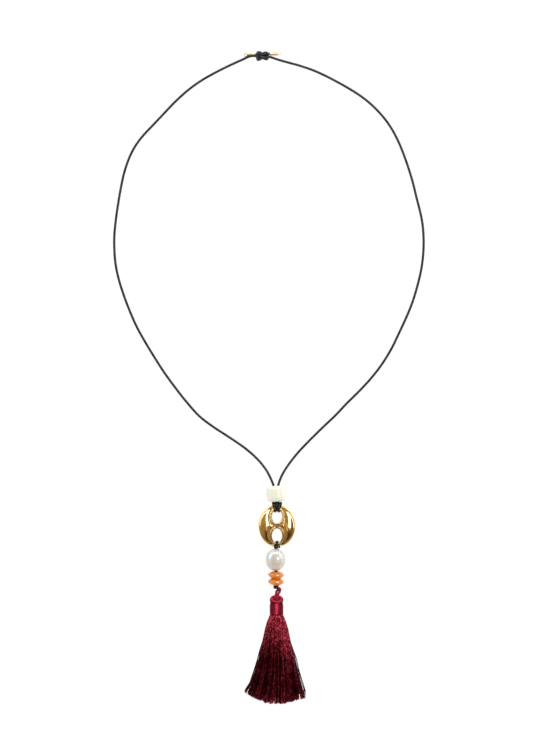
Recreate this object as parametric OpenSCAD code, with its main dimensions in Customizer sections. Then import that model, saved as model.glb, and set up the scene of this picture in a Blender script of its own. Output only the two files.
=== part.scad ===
// Tassel necklace on a knotted leather cord, lying flat on a table.
// X runs to the wearer's side, Y runs up the neck loop to the back knot, Z is up off the table.
// The origin is the middle of the neck loop, at table level.

/* [Neck cord] */
// Diameter of the round leather cord
cord_d = 1.5; // [1.2:0.1:1.6]
// Space left between a cord or thread and the piece that it passes
fit = 0.1; // [0.05:0.01:0.15]

/* [End caps] */
// Outer diameter of a cap's tube
cap_d = 2.2; // [2.1:0.05:2.6]
// Length of a cap's tube
cap_len = 4.9; // [4:0.1:7]
// Depth of the cord in a cap
cap_depth = 3.4; // [2:0.1:3.6]
// Outer diameter of the ring on a cap
cap_ring_d = 2.2; // [1.8:0.1:3]
// Wire diameter of that ring
cap_wire_d = 0.5; // [0.4:0.05:0.7]

/* [Bone bead] */
// Diameter of the bead
bead_d = 12.1; // [10:0.1:14]
// Length of the bead along the cord
bead_len = 9.5; // [7:0.1:12]
// Radius of the bead's rounded edges
bead_edge_r = 2.6; // [1:0.1:3]
// Diameter of the bore, wide enough for two runs of the cord
bead_bore_d = 4.7; // [4.7:0.1:5.4]
// Turn of the bead on the cord, seen from above
bead_turn = 3; // [0:0.5:3]

/* [Puffed link] */
// Width of the link
link_w = 22.6; // [20:0.2:26]
// Length of the link
link_len = 25.6; // [24:0.2:30]
// Half height of the puffed body at its middle, before the openings are cut
link_puff = 3.4; // [2.8:0.1:4]
// Width of the bars at the top and the bottom
link_bar_w = 2.7; // [2.4:0.1:3.2]
// Width of the bar between the two openings
link_mid_w = 3; // [2.4:0.1:4]
// Width of the openings
link_hole_w = 5.9; // [5:0.1:7]
// Radius at which the openings flare outwards
link_flare_r = 3.3; // [3.2:0.1:3.8]

/* [Drop] */
// Diameter of the thin cord through the pearl and the saucer beads
drop_cord_d = 0.9; // [0.7:0.05:1]
// Diameter of the pearl
pearl_d = 12; // [10:0.2:14]
// How much longer the pearl is than it is wide
pearl_stretch = 1.3; // [0:0.1:2]
// Diameter of the saucer beads
saucer_d = 9.6; // [8:0.1:11]
// Thickness of a saucer bead along the cord
saucer_t = 4; // [3.4:0.1:4.6]
// Diameter of a saucer bead's flat faces
saucer_flat_d = 5.4; // [4:0.1:6]
// Radius of a saucer bead's rim
saucer_rim_r = 1.25; // [1:0.05:1.5]
// Turn of the saucer beads on the cord, seen from above
saucer_turn = -2.5; // [-2.5:0.5:0]
// Diameter of the bores of the pearl and the saucer beads
drop_bore_d = 2.3; // [2.3:0.1:3]
// Radius of the eye at the cord's end, to the middle of its wire
eye_r = 1.35; // [1.35:0.05:1.6]

/* [Tassel] */
// Diameter of the cord of the tassel's loop
loop_d = 1.3; // [1:0.05:1.4]
// Distance from the lower saucer bead to the top of the tassel
loop_drop = 6.7; // [6.4:0.1:9]
// Diameter of the folded top
top_d = 8; // [7:0.1:9]
// Length of the folded top above the binding
top_len = 4.4; // [3.5:0.1:6]
// Outer diameter of the wound binding
binding_d = 8.2; // [7.4:0.1:9]
// Wall of the wound binding
binding_wall = 0.6; // [0.4:0.05:0.9]
// Length of the wound binding
binding_len = 6.7; // [5:0.1:9]
// Length of the skirt below the binding
skirt_len = 54; // [45:1:65]
// Width of the skirt at its lower end
skirt_w = 37; // [30:1:44]
// Height of the skirt at its lower end, where it lies fanned out
skirt_h = 4.6; // [3.6:0.1:6]
// Number of locks round the skirt
lock_count = 20; // [16:2:24]

/* [Hidden] */
$fn = 48;

// Sides of a cord, a thin cord and a lock of the tassel
cord_sides = 8;
lock_sides = 8;
cord_r = cord_d / 2;
drop_r = drop_cord_d / 2;
loop_r = loop_d / 2;

// Sideways places of the pieces on the hanging line
link_x = 0.6;
pearl_side = -0.3;
strand_x = -0.1;
tassel_x = 0.3;

// Half the distance between the two runs of the cord, above and below the bead
strand_top = 1.3;
strand_low = (cord_d + fit) / 2;

// Places down the hanging line, each from the one above it. A band is where a hitch crosses its runs
bead_top_y = -129.3;
bead_low_y = bead_top_y - bead_len;
bead_lean = (bead_d / 2 - bead_edge_r) * sin(bead_turn);
bead_z = bead_d / 2;
cord_band_y = bead_low_y - bead_lean - cord_r - fit;
link_y = cord_band_y - cord_r - fit - link_len / 2;
link_low_y = link_y - link_len / 2;
drop_band_y = link_low_y - drop_r - fit;
pearl_len = pearl_d + pearl_stretch;
pearl_y = drop_band_y - drop_r - fit - pearl_len / 2;
pearl_z = pearl_d / 2 + fit;

// An opening's length, and its outer end, its lip and the middle of its bar from the link's middle
link_hole_y = link_len / 2 - link_bar_w;
link_hole_len = link_hole_y - link_mid_w / 2;
link_lip_y = link_hole_y + 0.28 * link_bar_w;
link_lip_h = link_puff * sqrt(1 - pow(link_lip_y / (link_len / 2), 2));
link_bar_y = link_len / 2 - link_bar_w / 2;

// The link lies on the cord under its top bar, or on its belly
link_z = max(link_puff, link_lip_h + cord_d + 3 * fit);

// The drop's line falls from the pearl's middle to the lower saucer bead, which rests on the table
upper_saucer_s = pearl_len / 2 + saucer_t / 2 + fit;
lower_saucer_s = upper_saucer_s + saucer_t + fit;
drop_end_s = lower_saucer_s + saucer_t / 2;
drop_tilt = asin((pearl_z - saucer_d / 2 - fit) / lower_saucer_s);

// Half the distance between the two runs of the thin cord, and the radius and end of its knot
drop_run_x = drop_r + 0.05;
drop_knot_r = drop_run_x + 1.6 * drop_r;
drop_knot_s = drop_end_s + 1.8 * drop_cord_d;

// A point at the distance s down the drop's line from the pearl's middle, x to the side and h above it
function on_drop_line(x, s, h = 0) =
    [x, pearl_y - s * cos(drop_tilt) - h * sin(drop_tilt), pearl_z - s * sin(drop_tilt) + h * cos(drop_tilt)];

// The tassel's places
tassel_top_y = on_drop_line(0, drop_end_s)[1] - loop_drop;
tassel_z = binding_d / 2;
binding_top_y = tassel_top_y - top_len;
skirt_top_y = binding_top_y - binding_len - fit;
neck_d = binding_d - 2 * binding_wall - 2 * fit;
loop_side = loop_r + 0.1;

// The back knot's middle, and its height above the table
knot_x = -8.1;
knot_y = 128.4;
knot_z = 1.52 * cord_d;

// Route of the cord's left side, from the back knot to the bone bead.
// Columns: x, y, rise above the table as a share of the way to the bead's axis
LEFT_ROUTE = [
    [-16, 128, 0.4], [-20, 126.3, 0.13], [-28, 122.7, 0], [-36, 118.7, 0], [-44, 114.2, 0],
    [-52, 108.6, 0], [-60, 101.5, 0], [-67, 94.2, 0], [-74, 86.8, 0], [-80, 80.4, 0],
    [-84.5, 74.3, 0], [-88, 67.5, 0], [-91, 58.8, 0], [-93, 49.8, 0], [-94.7, 40, 0],
    [-96, 31, 0], [-97, 21, 0], [-97, 12, 0], [-96.2, 3, 0], [-94.2, -6.2, 0],
    [-91.2, -15.6, 0], [-87.6, -25, 0], [-83.5, -34.2, 0], [-78.4, -43.4, 0], [-72.8, -52.6, 0],
    [-67, -61.6, 0], [-60.6, -70.4, 0], [-53.5, -79.4, 0], [-46, -87.7, 0], [-37.5, -94.2, 0],
    [-28, -100.4, 0], [-19, -106.6, 0.04], [-11.6, -113, 0.22], [-6.2, -119.5, 0.58],
    [-3, -125.4, 0.92]];

// Route of the cord's right side, from the back knot to the bone bead, with the same columns
RIGHT_ROUTE = [
    [2, 126, 0.1], [7.5, 124.5, 0], [14, 122.7, 0], [22, 120, 0], [29, 116.9, 0],
    [36, 113.3, 0], [43, 109.4, 0], [50, 105, 0], [56, 100.4, 0], [61.4, 95.2, 0],
    [66, 89.8, 0], [70, 83.8, 0], [73.5, 77, 0], [76.4, 70, 0], [79.4, 61.5, 0],
    [82, 53, 0], [84.2, 44, 0], [86.5, 35, 0], [88, 27, 0], [88.6, 18, 0],
    [88.3, 9, 0], [87.1, 0, 0], [85, -9, 0], [82, -19, 0], [78.4, -28, 0],
    [74, -37.5, 0], [69.4, -47, 0], [63.6, -56.5, 0], [57, -65, 0], [50, -72.6, 0],
    [42.5, -80, 0], [35.4, -87.5, 0], [28, -94.5, 0], [20.4, -102, 0], [13.7, -109, 0.12],
    [8.2, -115.8, 0.36], [4.4, -121.5, 0.7], [2.3, -126, 0.93]];

// Path of the left end of the cord in the back knot, in cord diameters from the knot's middle.
// It comes in from the left, turns behind the right end and leaves into the left cap
LEFT_KNOT = [
    [-3, 0, 0.55], [-2, -0.35, 0.1], [-1, -0.5, 0.4], [0, -0.6, 0.5], [1, -1.1, 0.3],
    [1.8, -1.2, -0.5], [2.05, -0.5, -0.95], [2.05, 0.5, -0.95], [1.8, 1.2, -0.5],
    [1, 1.15, 0.3], [0, 0.6, 0.5], [-1, 0.55, 0.2], [-2, 0.55, -0.35], [-3, 0.45, -0.75]];

// Path of the right end, in the same units. It comes in from the right, turns in front of the
// left end and leaves into the right cap
RIGHT_KNOT = [
    [3, -0.4, 0], [2, -0.45, 0.1], [1, -0.4, -0.35], [0, -0.5, -0.5], [-1, -1.2, -0.4],
    [-1.8, -1.55, 0.3], [-2.05, -1, 1], [-2.05, 0, 1.2], [-2.05, 0.9, 1.05],
    [-1.8, 1.4, 0.4], [-1, 1.3, -0.4], [0, 0.7, -0.5], [1, 0.6, -0.35], [2, 0.75, 0.1],
    [3, 0.85, 0]];

// Sections of the skirt. Columns: share of its length, share of its width, share of the height
// that it keeps from the neck, sideways shift as a share of its width
SKIRT_SECTIONS = [
    [0, 0.19, 1, 0], [0.1, 0.31, 0.98, 0], [0.3, 0.46, 0.86, 0], [0.5, 0.64, 0.6, 0.01],
    [0.7, 0.8, 0.34, 0], [0.86, 0.95, 0.12, -0.01], [1, 1, 0, -0.02]];
SECTION_SHARE = 0;
SECTION_WIDTH = 1;
SECTION_HEIGHT = 2;
SECTION_SHIFT = 3;

// How far the hem's corners stay back from its middle, as shares of the skirt's length
hem_rise_left = 0.13;
hem_rise_right = 0.07;

function unit(v) = v / norm(v);

// One point of a smooth curve between b and c, with a and d before and after them
function between(a, b, c, d, t) =
    0.5 * (2 * b + (c - a) * t + (2 * a - 5 * b + 4 * c - d) * t * t + (3 * b - a - 3 * c + d) * t * t * t);

// A smooth path through the points p, with n steps for each span
function smoothed(p, n) = concat(
    [for (i = [0 : len(p) - 2], k = [0 : n - 1])
        between(i == 0 ? 2 * p[0] - p[1] : p[i - 1], p[i], p[i + 1],
                i == len(p) - 2 ? 2 * p[i + 1] - p[i] : p[i + 2], k / n)],
    [p[len(p) - 1]]);

// Directions along the path p, with the first and last given or taken from the path
function directions(p, first, last) =
    [for (i = [0 : len(p) - 1])
        i == 0 ? (is_undef(first) ? unit(p[1] - p[0]) : first)
        : i == len(p) - 1 ? (is_undef(last) ? unit(p[i] - p[i - 1]) : last)
        : unit(unit(p[i + 1] - p[i]) + unit(p[i] - p[i - 1]))];

// Side directions that don't twist round the path
function sides_of(dirs, u, i = 0) =
    i == len(dirs) ? []
    : let (v = unit(u - (u * dirs[i]) * dirs[i])) concat([v], sides_of(dirs, v, i + 1));

// Rings of points round the path p, with the radius r
function rings(p, r, first, last, side = [0, 0, 1]) =
    let (dirs = directions(p, first, last), us = sides_of(dirs, side))
    [for (i = [0 : len(p) - 1])
        [for (k = [0 : cord_sides - 1])
            let (a = 360 * k / cord_sides)
            p[i] + r * (cos(a) * us[i] + sin(a) * cross(dirs[i], us[i]))]];

function flat_list(lists) = [for (list = lists) for (item = list) item];

// A closed tube over the rings q
module tube(q) {
    n = len(q[0]);
    m = len(q);
    polyhedron(points = flat_list(q), faces = concat(
        [[for (k = [0 : n - 1]) k]],
        [for (i = [0 : m - 2], k = [0 : n - 1]) [i * n + k, (i + 1) * n + k, (i + 1) * n + (k + 1) % n]],
        [for (i = [0 : m - 2], k = [0 : n - 1]) [i * n + k, (i + 1) * n + (k + 1) % n, i * n + (k + 1) % n]],
        [[for (k = [n - 1 : -1 : 0]) (m - 1) * n + k]]));
}

// The same tube in lengths that are pressed into what they touch
module pressed_tube(q) {
    n = len(q[0]);
    for (i = [0 : len(q) - 2])
        hull() polyhedron(points = concat(q[i], q[i + 1]), faces = [[for (k = [0 : 2 * n - 1]) k]]);
}

function knot_path(rows) = [for (row = rows) [knot_x, knot_y, knot_z] + cord_d * row];
left_knot_path = knot_path(LEFT_KNOT);
right_knot_path = knot_path(RIGHT_KNOT);
left_cap_start = left_knot_path[len(left_knot_path) - 1];
right_cap_start = right_knot_path[len(right_knot_path) - 1];

function lying(route) = [for (row = route) [row[0], row[1], cord_r + row[2] * (bead_z - cord_r)]];

module cord_left() {
    color("#191a1c")
    tube(rings(concat([left_knot_path[0]], lying(LEFT_ROUTE), [[strand_x - strand_top, bead_top_y, bead_z]]),
               cord_r, [-1, 0, 0], [0, -1, 0]));
}

module cord_right() {
    color("#191a1c")
    tube(rings(concat([right_knot_path[0]], lying(RIGHT_ROUTE), [[strand_x + strand_top, bead_top_y, bead_z]]),
               cord_r, [1, 0, 0], [0, -1, 0]));
}

// The knot and both tails, pulled tight into one another
module back_knot() {
    color("#191a1c")
    union() {
        pressed_tube(rings(smoothed(left_knot_path, 2), cord_r, [1, 0, 0], [-1, 0, 0]));
        pressed_tube(rings([left_cap_start, left_cap_start - [cap_depth, 0, 0]], cord_r));
        pressed_tube(rings(smoothed(right_knot_path, 2), cord_r, [-1, 0, 0], [1, 0, 0]));
        pressed_tube(rings([right_cap_start, right_cap_start + [cap_depth, 0, 0]], cord_r));
    }
}

// An end cap with its mouth at the origin and its ring towards +X, turned round X by ring_turn
module end_cap(ring_turn) {
    ring_r = (cap_ring_d - cap_wire_d) / 2;
    difference() {
        union() {
            rotate([0, 90, 0]) cylinder(d = cap_d, h = cap_len);
            translate([cap_len + ring_r - cap_wire_d / 4, 0, 0])
            rotate([ring_turn, 0, 0])
            rotate_extrude() translate([ring_r, 0]) circle(d = cap_wire_d, $fn = 24);
        }
        translate([-fit, 0, 0]) rotate([0, 90, 0]) cylinder(r = cord_r + fit, h = cap_depth + 2 * fit);
    }
}

module end_cap_left() {
    color("#c98f2f") translate(left_cap_start) mirror([1, 0, 0]) end_cap(0);
}

module end_cap_right() {
    color("#d9b270") translate(right_cap_start) end_cap(90);
}

module bone_bead() {
    half = bead_len / 2;
    flat_r = bead_d / 2 - bead_edge_r;
    color("#f2eedf")
    translate([0, bead_top_y - half, bead_z])
    rotate([0, 0, bead_turn])
    rotate([90, 0, 0])
    difference() {
        rotate_extrude() {
            translate([0, -half]) square([flat_r, bead_len]);
            translate([0, -half + bead_edge_r]) square([bead_d / 2, bead_len - 2 * bead_edge_r]);
            for (side = [-1, 1])
                translate([flat_r, side * (half - bead_edge_r)])
                intersection() {
                    circle(r = bead_edge_r);
                    translate([-bead_edge_r / 2, -bead_edge_r]) square([2 * bead_edge_r, 2 * bead_edge_r]);
                }
        }
        cylinder(d = bead_bore_d, h = bead_len + 2, center = true);
    }
}

// A flared opening of the link, cut along Z
module link_opening(centre_y) {
    hole_r = link_hole_w / 2;
    reach = max(link_flare_r, link_puff) + 1;
    translate([0, centre_y, 0])
    scale([1, link_hole_len / link_hole_w, 1])
    rotate_extrude()
    difference() {
        translate([0, -reach]) square([hole_r + link_flare_r, 2 * reach]);
        translate([hole_r + link_flare_r, 0]) circle(r = link_flare_r);
    }
}

module puffed_link() {
    color("#b88a32")
    translate([link_x, link_y, link_z])
    difference() {
        scale([link_w / 2, link_len / 2, link_puff]) sphere(r = 1);
        for (side = [-1, 1]) link_opening(side * (link_mid_w + link_hole_len) / 2);
    }
}

// How far the rounded end of an opening draws back at the distance x beside its middle
function hole_back(x) = link_hole_len / 2 * (1 - sqrt(1 - pow(2 * x / link_hole_w, 2)));

// Half of the hitch of a cord of radius r on a bar of the link: over the bar, down through the
// opening, back under the bar, up beside the run and to the middle of the band across both runs.
// side is 1 for the right run, way is 1 for the top bar and -1 for the bottom bar
function hitch_half(r, side, way, run_x, run_z, band_y) =
    let (over = link_lip_h + r + fit,
         back = hole_back(run_x + 0.7 * r) + fit / 2,
         lip_y = link_lip_y - back,
         beside_y = lip_y - 0.9 * (r + fit),
         hole_y = link_hole_y - back - r - fit,
         rise_x = run_x + 2 * r + fit,
         round_bar = [
             [run_x, link_bar_y, over],
             [run_x, lip_y, over],
             [run_x, beside_y, link_lip_h],
             [run_x, hole_y, 0.4 * r],
             [run_x, hole_y, -0.4 * r],
             [run_x + 0.1 * r, beside_y, -link_lip_h],
             [run_x + 0.4 * r, lip_y, -over],
             [rise_x - 0.3 * r, link_bar_y + r, -over + 0.2 * r]],
         round_runs = [
             [rise_x, link_z - 1.3 * r],
             [rise_x, run_z + r],
             [rise_x - 0.7 * r, run_z + 2 * r],
             [0.7 * run_x, run_z + 2 * r + fit],
             [0, run_z + 2 * r + fit]])
    concat(
        [for (row = round_bar) [link_x + side * row[0], link_y + way * row[1], link_z + row[2]]],
        [for (row = round_runs) [link_x + side * row[0], band_y, row[1]]]);

function backwards(p) = [for (i = [len(p) - 1 : -1 : 0]) p[i]];

// A path down one side, through the middle of a band and back up the other side
function mirrored_path(down) =
    let (middle = len(down[0]) - 2)
    concat(down[0], backwards([for (i = [0 : middle]) down[1][i]]));

// The middle of the neck cord: through the bone bead, round the link's top bar and back
module cord_hitch() {
    run_z = bead_z + 0.05;
    down = [for (side = [-1, 1]) concat(
        [[strand_x + side * strand_top, bead_top_y, bead_z],
         [strand_x + side * strand_top, bead_top_y - 0.2 * bead_len, bead_z],
         [link_x + side * strand_low, bead_low_y + 0.2 * bead_len, bead_z],
         [link_x + side * strand_low, cord_band_y, run_z]],
        hitch_half(cord_r, side, 1, strand_low, run_z, cord_band_y))];
    color("#191a1c")
    tube(rings(smoothed(mirrored_path(down), 2), cord_r, [0, -1, 0], [0, 1, 0]));
}

// The thin cord: hitched round the link's bottom bar, run twice through the beads, then knotted,
// with its eye at the end
module drop_cord() {
    pearl_top_s = -pearl_len / 2;
    run_z = on_drop_line(0, pearl_top_s)[2] - 0.2;
    up = [for (side = [-1, 1]) concat(
        [on_drop_line(side * drop_run_x, drop_knot_s - drop_cord_d),
         on_drop_line(side * drop_run_x, pearl_top_s + 0.6),
         [link_x / 2 + side * drop_run_x, drop_band_y, run_z]],
        hitch_half(drop_r, side, -1, drop_run_x, run_z, drop_band_y))];
    path = mirrored_path(up);
    last = len(path) - 1;
    wrap_steps = 20;
    wrap_turns = 2;
    wrap_s = drop_end_s + drop_r + fit;
    wrap_rise = (drop_knot_s - drop_r - wrap_s) / wrap_turns;
    color("#111214")
    union() {
        pressed_tube(rings(concat([path[0]], smoothed([for (i = [1 : last - 1]) path[i]], 2), [path[last]]),
                           drop_r));
        pressed_tube(rings([for (i = [0 : wrap_steps])
            let (turn = wrap_turns * i / wrap_steps)
            on_drop_line(drop_knot_r * cos(360 * turn), wrap_s + wrap_rise * turn, drop_knot_r * sin(360 * turn))],
            drop_r));
        translate(on_drop_line(0, drop_knot_s))
        rotate([drop_tilt - 90, 0, 0])
        cylinder(r = drop_knot_r, h = drop_knot_s - drop_end_s - fit, $fn = 12);
        translate(eye_middle())
        rotate([90, 0, eye_turn])
        rotate_extrude($fn = 20) translate([eye_r, 0]) circle(r = drop_r, $fn = cord_sides);
    }
}

// The eye stands upright below and beside the knot, and the tassel's loop goes through it
eye_turn = -54;
function eye_middle() = on_drop_line(eye_r, drop_knot_s) - [0, eye_r - drop_r / 2, 0];

// A piece on the drop's line, at the distance s from the pearl's middle
module on_drop(s, turn = 0) {
    translate(on_drop_line(0, s)) rotate([drop_tilt, 0, 0]) rotate([0, 0, turn]) rotate([90, 0, 0]) children();
}

module pearl() {
    color("#ece8e0")
    on_drop(0)
    difference() {
        translate([pearl_side, 0, 0])
        rotate_extrude() {
            for (side = [-1, 1])
                translate([0, side * pearl_stretch / 2])
                intersection() {
                    circle(d = pearl_d);
                    translate([0, -pearl_d / 2]) square([pearl_d / 2, pearl_d]);
                }
            translate([0, -pearl_stretch / 2]) square([pearl_d / 2, pearl_stretch]);
        }
        cylinder(d = drop_bore_d, h = pearl_len + 2, center = true);
    }
}

// A saucer: two shallow arcs that run into a round rim, with small flat faces
module saucer_bead() {
    half = saucer_t / 2;
    flat_r = saucer_flat_d / 2;
    rim_x = saucer_d / 2 - saucer_rim_r;
    k = rim_x * rim_x + half * half - flat_r * flat_r - saucer_rim_r * saucer_rim_r;
    slope = half * half - saucer_rim_r * saucer_rim_r;
    arc_r = (saucer_rim_r * k + sqrt(pow(saucer_rim_r * k, 2) + slope * (k * k + 4 * pow(half * flat_r, 2))))
        / (2 * slope);
    arc_y = sqrt(arc_r * arc_r - flat_r * flat_r) - half;
    tangent_x = rim_x * arc_r / (arc_r - saucer_rim_r);
    difference() {
        rotate_extrude() {
            intersection() {
                translate([0, -half]) square([tangent_x, saucer_t]);
                translate([0, -arc_y]) circle(r = arc_r);
                translate([0, arc_y]) circle(r = arc_r);
            }
            translate([rim_x, 0]) circle(r = saucer_rim_r);
        }
        cylinder(d = drop_bore_d, h = saucer_t + 2, center = true);
    }
}

module saucer_bead_upper() {
    color("#d97a25") on_drop(upper_saucer_s, saucer_turn) saucer_bead();
}

module saucer_bead_lower() {
    color("#d97a25") on_drop(lower_saucer_s, saucer_turn) saucer_bead();
}

// The loop comes up out of the tassel's top, through the eye and down again
module tassel_loop() {
    eye = eye_middle();
    foot_y = tassel_top_y - 0.8 * top_len;
    path = [
        [tassel_x - loop_side, foot_y, tassel_z],
        [tassel_x - loop_side, tassel_top_y, tassel_z],
        [tassel_x - 0.3 * loop_side, tassel_top_y + 0.14 * loop_drop, tassel_z + 0.1],
        eye - [0.7, 1.65, 0.2],
        eye,
        eye + [1.3, 0.35, 0],
        eye + [2, -0.5, 0],
        eye + [1.85, -1.6, -0.1],
        [tassel_x + 2.4 * loop_side, tassel_top_y + 0.2 * loop_drop, tassel_z + 0.2],
        [tassel_x + 1.6 * loop_side, tassel_top_y + 0.1 * loop_drop, tassel_z + 0.1],
        [tassel_x + loop_side, tassel_top_y, tassel_z],
        [tassel_x + loop_side, foot_y, tassel_z]];
    color("#7a1020") tube(rings(smoothed(path, 2), loop_r, [0, 1, 0], [0, -1, 0]));
}

module tassel_binding() {
    bulge = 0.15;
    color("#7d1426")
    translate([tassel_x, binding_top_y - binding_len / 2, tassel_z])
    rotate([90, 0, 0])
    difference() {
        union() {
            cylinder(d = binding_d - 2 * bulge, h = binding_len, center = true);
            cylinder(d = binding_d, h = binding_len - 4 * bulge, center = true);
        }
        cylinder(d = neck_d + 2 * fit, h = binding_len + 2, center = true);
    }
}

// An ellipse of points across the hanging line
function cross_ring(x, y, z, half_w, half_h, n = lock_sides, start = 0) =
    [for (k = [0 : n - 1])
        let (a = start + 360 * k / n) [x + half_w * cos(a), y, z + half_h * sin(a)]];

// Half width, half height and middle of the skirt at a section
function skirt_half_w(row) = row[SECTION_WIDTH] * skirt_w / 2;
function skirt_half_h(row) = skirt_h / 2 + row[SECTION_HEIGHT] * (neck_d - skirt_h) / 2;
function skirt_x(row) = tassel_x + row[SECTION_SHIFT] * skirt_w;

// How much of its length the skirt keeps at u, from -1 at its left side to 1 at its right
function hem_share(u) = 1 - (u < 0 ? hem_rise_left : hem_rise_right) * u * u;

// A lock's half width is half its share of the skirt's round times the overlap, and a little more;
// its half height is a share of the skirt's
lock_overlap = 1.25;
lock_least = 0.25;
lock_height = 0.42;

// One lock of the skirt, at the angle a round it
function lock_rings(a, length_share) =
    [for (row = SKIRT_SECTIONS)
        let (half_w = skirt_half_w(row),
             half_h = skirt_half_h(row),
             wide = lock_overlap * PI * half_w / lock_count + lock_least,
             high = lock_height * half_h,
             y = skirt_top_y - row[SECTION_SHARE] * skirt_len * hem_share(cos(a) * row[SECTION_SHARE]) * length_share)
        cross_ring(skirt_x(row) + (half_w - wide) * cos(a), y,
                   tassel_lift(row) + (half_h - high) * sin(a), wide, high)];

// The skirt's middle sinks from the neck's height until its underside lies on the table
function tassel_lift(row) =
    let (lying = skirt_half_h(row), t = min(1, row[SECTION_SHARE] / 0.2)) (1 - t) * tassel_z + t * lying;

// The folded top, the neck under the binding and the skirt of locks, in one body
module tassel_fringe() {
    top_edge = 1.3;
    hole_x = loop_side + loop_r + fit;
    color("#6b0d1c")
    difference() {
        union() {
            translate([tassel_x, tassel_top_y, tassel_z])
            rotate([90, 0, 0])
            hull() {
                translate([0, 0, top_edge])
                rotate_extrude($fn = 24) translate([top_d / 2 - top_edge, 0]) circle(r = top_edge, $fn = 16);
                translate([0, 0, top_len - fit - 0.5]) cylinder(d = top_d - 0.6, h = 0.5, $fn = 24);
            }
            translate([tassel_x, tassel_top_y - top_edge, tassel_z])
            rotate([90, 0, 0])
            cylinder(d = neck_d, h = tassel_top_y - top_edge - skirt_top_y + fit, $fn = 24);
            for (i = [0 : len(SKIRT_SECTIONS) - 2])
                hull() polyhedron(
                    points = concat(core_ring(i), core_ring(i + 1)),
                    faces = [[for (k = [0 : 2 * core_sides - 1]) k]]);
            for (i = [0 : lock_count - 1])
                pressed_tube(lock_rings(360 * (i + 0.5) / lock_count, 1 - 0.02 * (i % 3)));
        }
        translate([tassel_x, tassel_top_y + 1, tassel_z])
        rotate([90, 0, 0])
        linear_extrude(0.8 * top_len + 1 + fit)
        square([2 * hole_x, 2 * (loop_r + fit)], center = true);
    }
}

// The skirt's core: how much of the skirt's width and of its length it fills, and its sides
core_width = 0.8;
core_length = 0.93;
core_sides = 16;

// The core's outline at section i, a little inside the locks
function core_ring(i) =
    let (row = SKIRT_SECTIONS[i])
    cross_ring(skirt_x(row), skirt_top_y - row[SECTION_SHARE] * skirt_len * core_length, tassel_lift(row),
               core_width * skirt_half_w(row), core_width * skirt_half_h(row), core_sides);

cord_left();
cord_right();
cord_hitch();
back_knot();
end_cap_left();
end_cap_right();
bone_bead();
puffed_link();
drop_cord();
pearl();
saucer_bead_upper();
saucer_bead_lower();
tassel_loop();
tassel_binding();
tassel_fringe();
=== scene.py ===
"""Dresses a long tassel necklace that lies flat on a white table and is seen from straight above.

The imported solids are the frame. Cords, knots and beads are swept or turned anew round the same
places, the gilt link is cast in one smooth skin, and the tassel gets its silk thread by thread.
"""

import logging
import math
import random
from dataclasses import dataclass, field
from enum import Enum
from functools import partial
from typing import Iterable, Sequence

import bmesh
import bpy
from mathutils import Matrix, Vector


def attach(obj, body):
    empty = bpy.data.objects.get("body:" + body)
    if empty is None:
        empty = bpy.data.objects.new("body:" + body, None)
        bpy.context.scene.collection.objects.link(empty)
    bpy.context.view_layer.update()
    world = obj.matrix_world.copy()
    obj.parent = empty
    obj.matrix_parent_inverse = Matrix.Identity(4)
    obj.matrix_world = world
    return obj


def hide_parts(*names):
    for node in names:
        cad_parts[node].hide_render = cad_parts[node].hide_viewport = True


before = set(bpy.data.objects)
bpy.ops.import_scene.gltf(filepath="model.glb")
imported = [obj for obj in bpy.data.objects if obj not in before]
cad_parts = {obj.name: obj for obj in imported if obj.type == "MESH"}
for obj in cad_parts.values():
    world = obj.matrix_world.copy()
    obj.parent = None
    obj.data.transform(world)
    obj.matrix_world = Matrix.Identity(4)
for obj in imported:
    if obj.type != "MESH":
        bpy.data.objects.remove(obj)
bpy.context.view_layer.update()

LOG = logging.getLogger("necklace")
MM = 0.001
TURN = 2 * math.pi
TOUCHING = 1e-7
Point = tuple[float, float, float]
Colour = Point
Profile = list[tuple[float, float]]
Piece = bpy.types.Object
Material = bpy.types.Material
Socket = bpy.types.NodeSocket
Value = float | tuple | Socket


def mm(x: float, y: float, z: float) -> Vector:
    """A point given in millimetres, in the frame's metres."""
    return Vector((x, y, z)) * MM


def turned(axis: str, degrees: float) -> Matrix:
    """A turn round one axis."""
    return Matrix.Rotation(math.radians(degrees), 4, axis)


def smoothed(points: Sequence[Vector], steps: int) -> list[Vector]:
    """Runs a smooth curve through chosen points.

    Args:
        points: The points that the curve passes through, in order.
        steps: How many points each span between two of them gets.

    Returns:
        The points along the curve, the chosen ones among them.
    """
    ends = [2 * points[0] - points[1], *points, 2 * points[-1] - points[-2]]
    curve = []
    for a, b, c, d in zip(ends, ends[1:], ends[2:], ends[3:]):
        for step in range(steps):
            t = step / steps
            bend = (2 * a - 5 * b + 4 * c - d) * t**2 + (3 * b - a - 3 * c + d) * t**3
            curve.append((2 * b + (c - a) * t + bend) / 2)
    return [*curve, points[-1].copy()]


def path_length(path: Sequence[Vector]) -> float:
    """The length of a path of straight steps."""
    return sum((b - a).length for a, b in zip(path, path[1:]))


def frames_along(path: Sequence[Vector], side: Vector | None = None) -> list[Matrix]:
    """Sets a frame at each point of a path, with Z along the path and no twist round it.

    Args:
        path: The points of the path.
        side: Where the first frame's X looks, roughly; up, if it isn't given.

    Returns:
        One matrix for each point.
    """
    steps = [(b - a).normalized() for a, b in zip(path, path[1:])]
    across = side or Vector((0, 0, 1))
    frames = []
    for index, point in enumerate(path):
        along = (steps[max(index - 1, 0)] + steps[min(index, len(steps) - 1)]).normalized()
        across = across - across.dot(along) * along
        if across.length < 1e-6:
            across = along.orthogonal()
        across.normalize()
        turn = Matrix((across, along.cross(across), along)).transposed()
        frames.append(Matrix.Translation(point) @ turn.to_4x4())
    return frames


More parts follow.
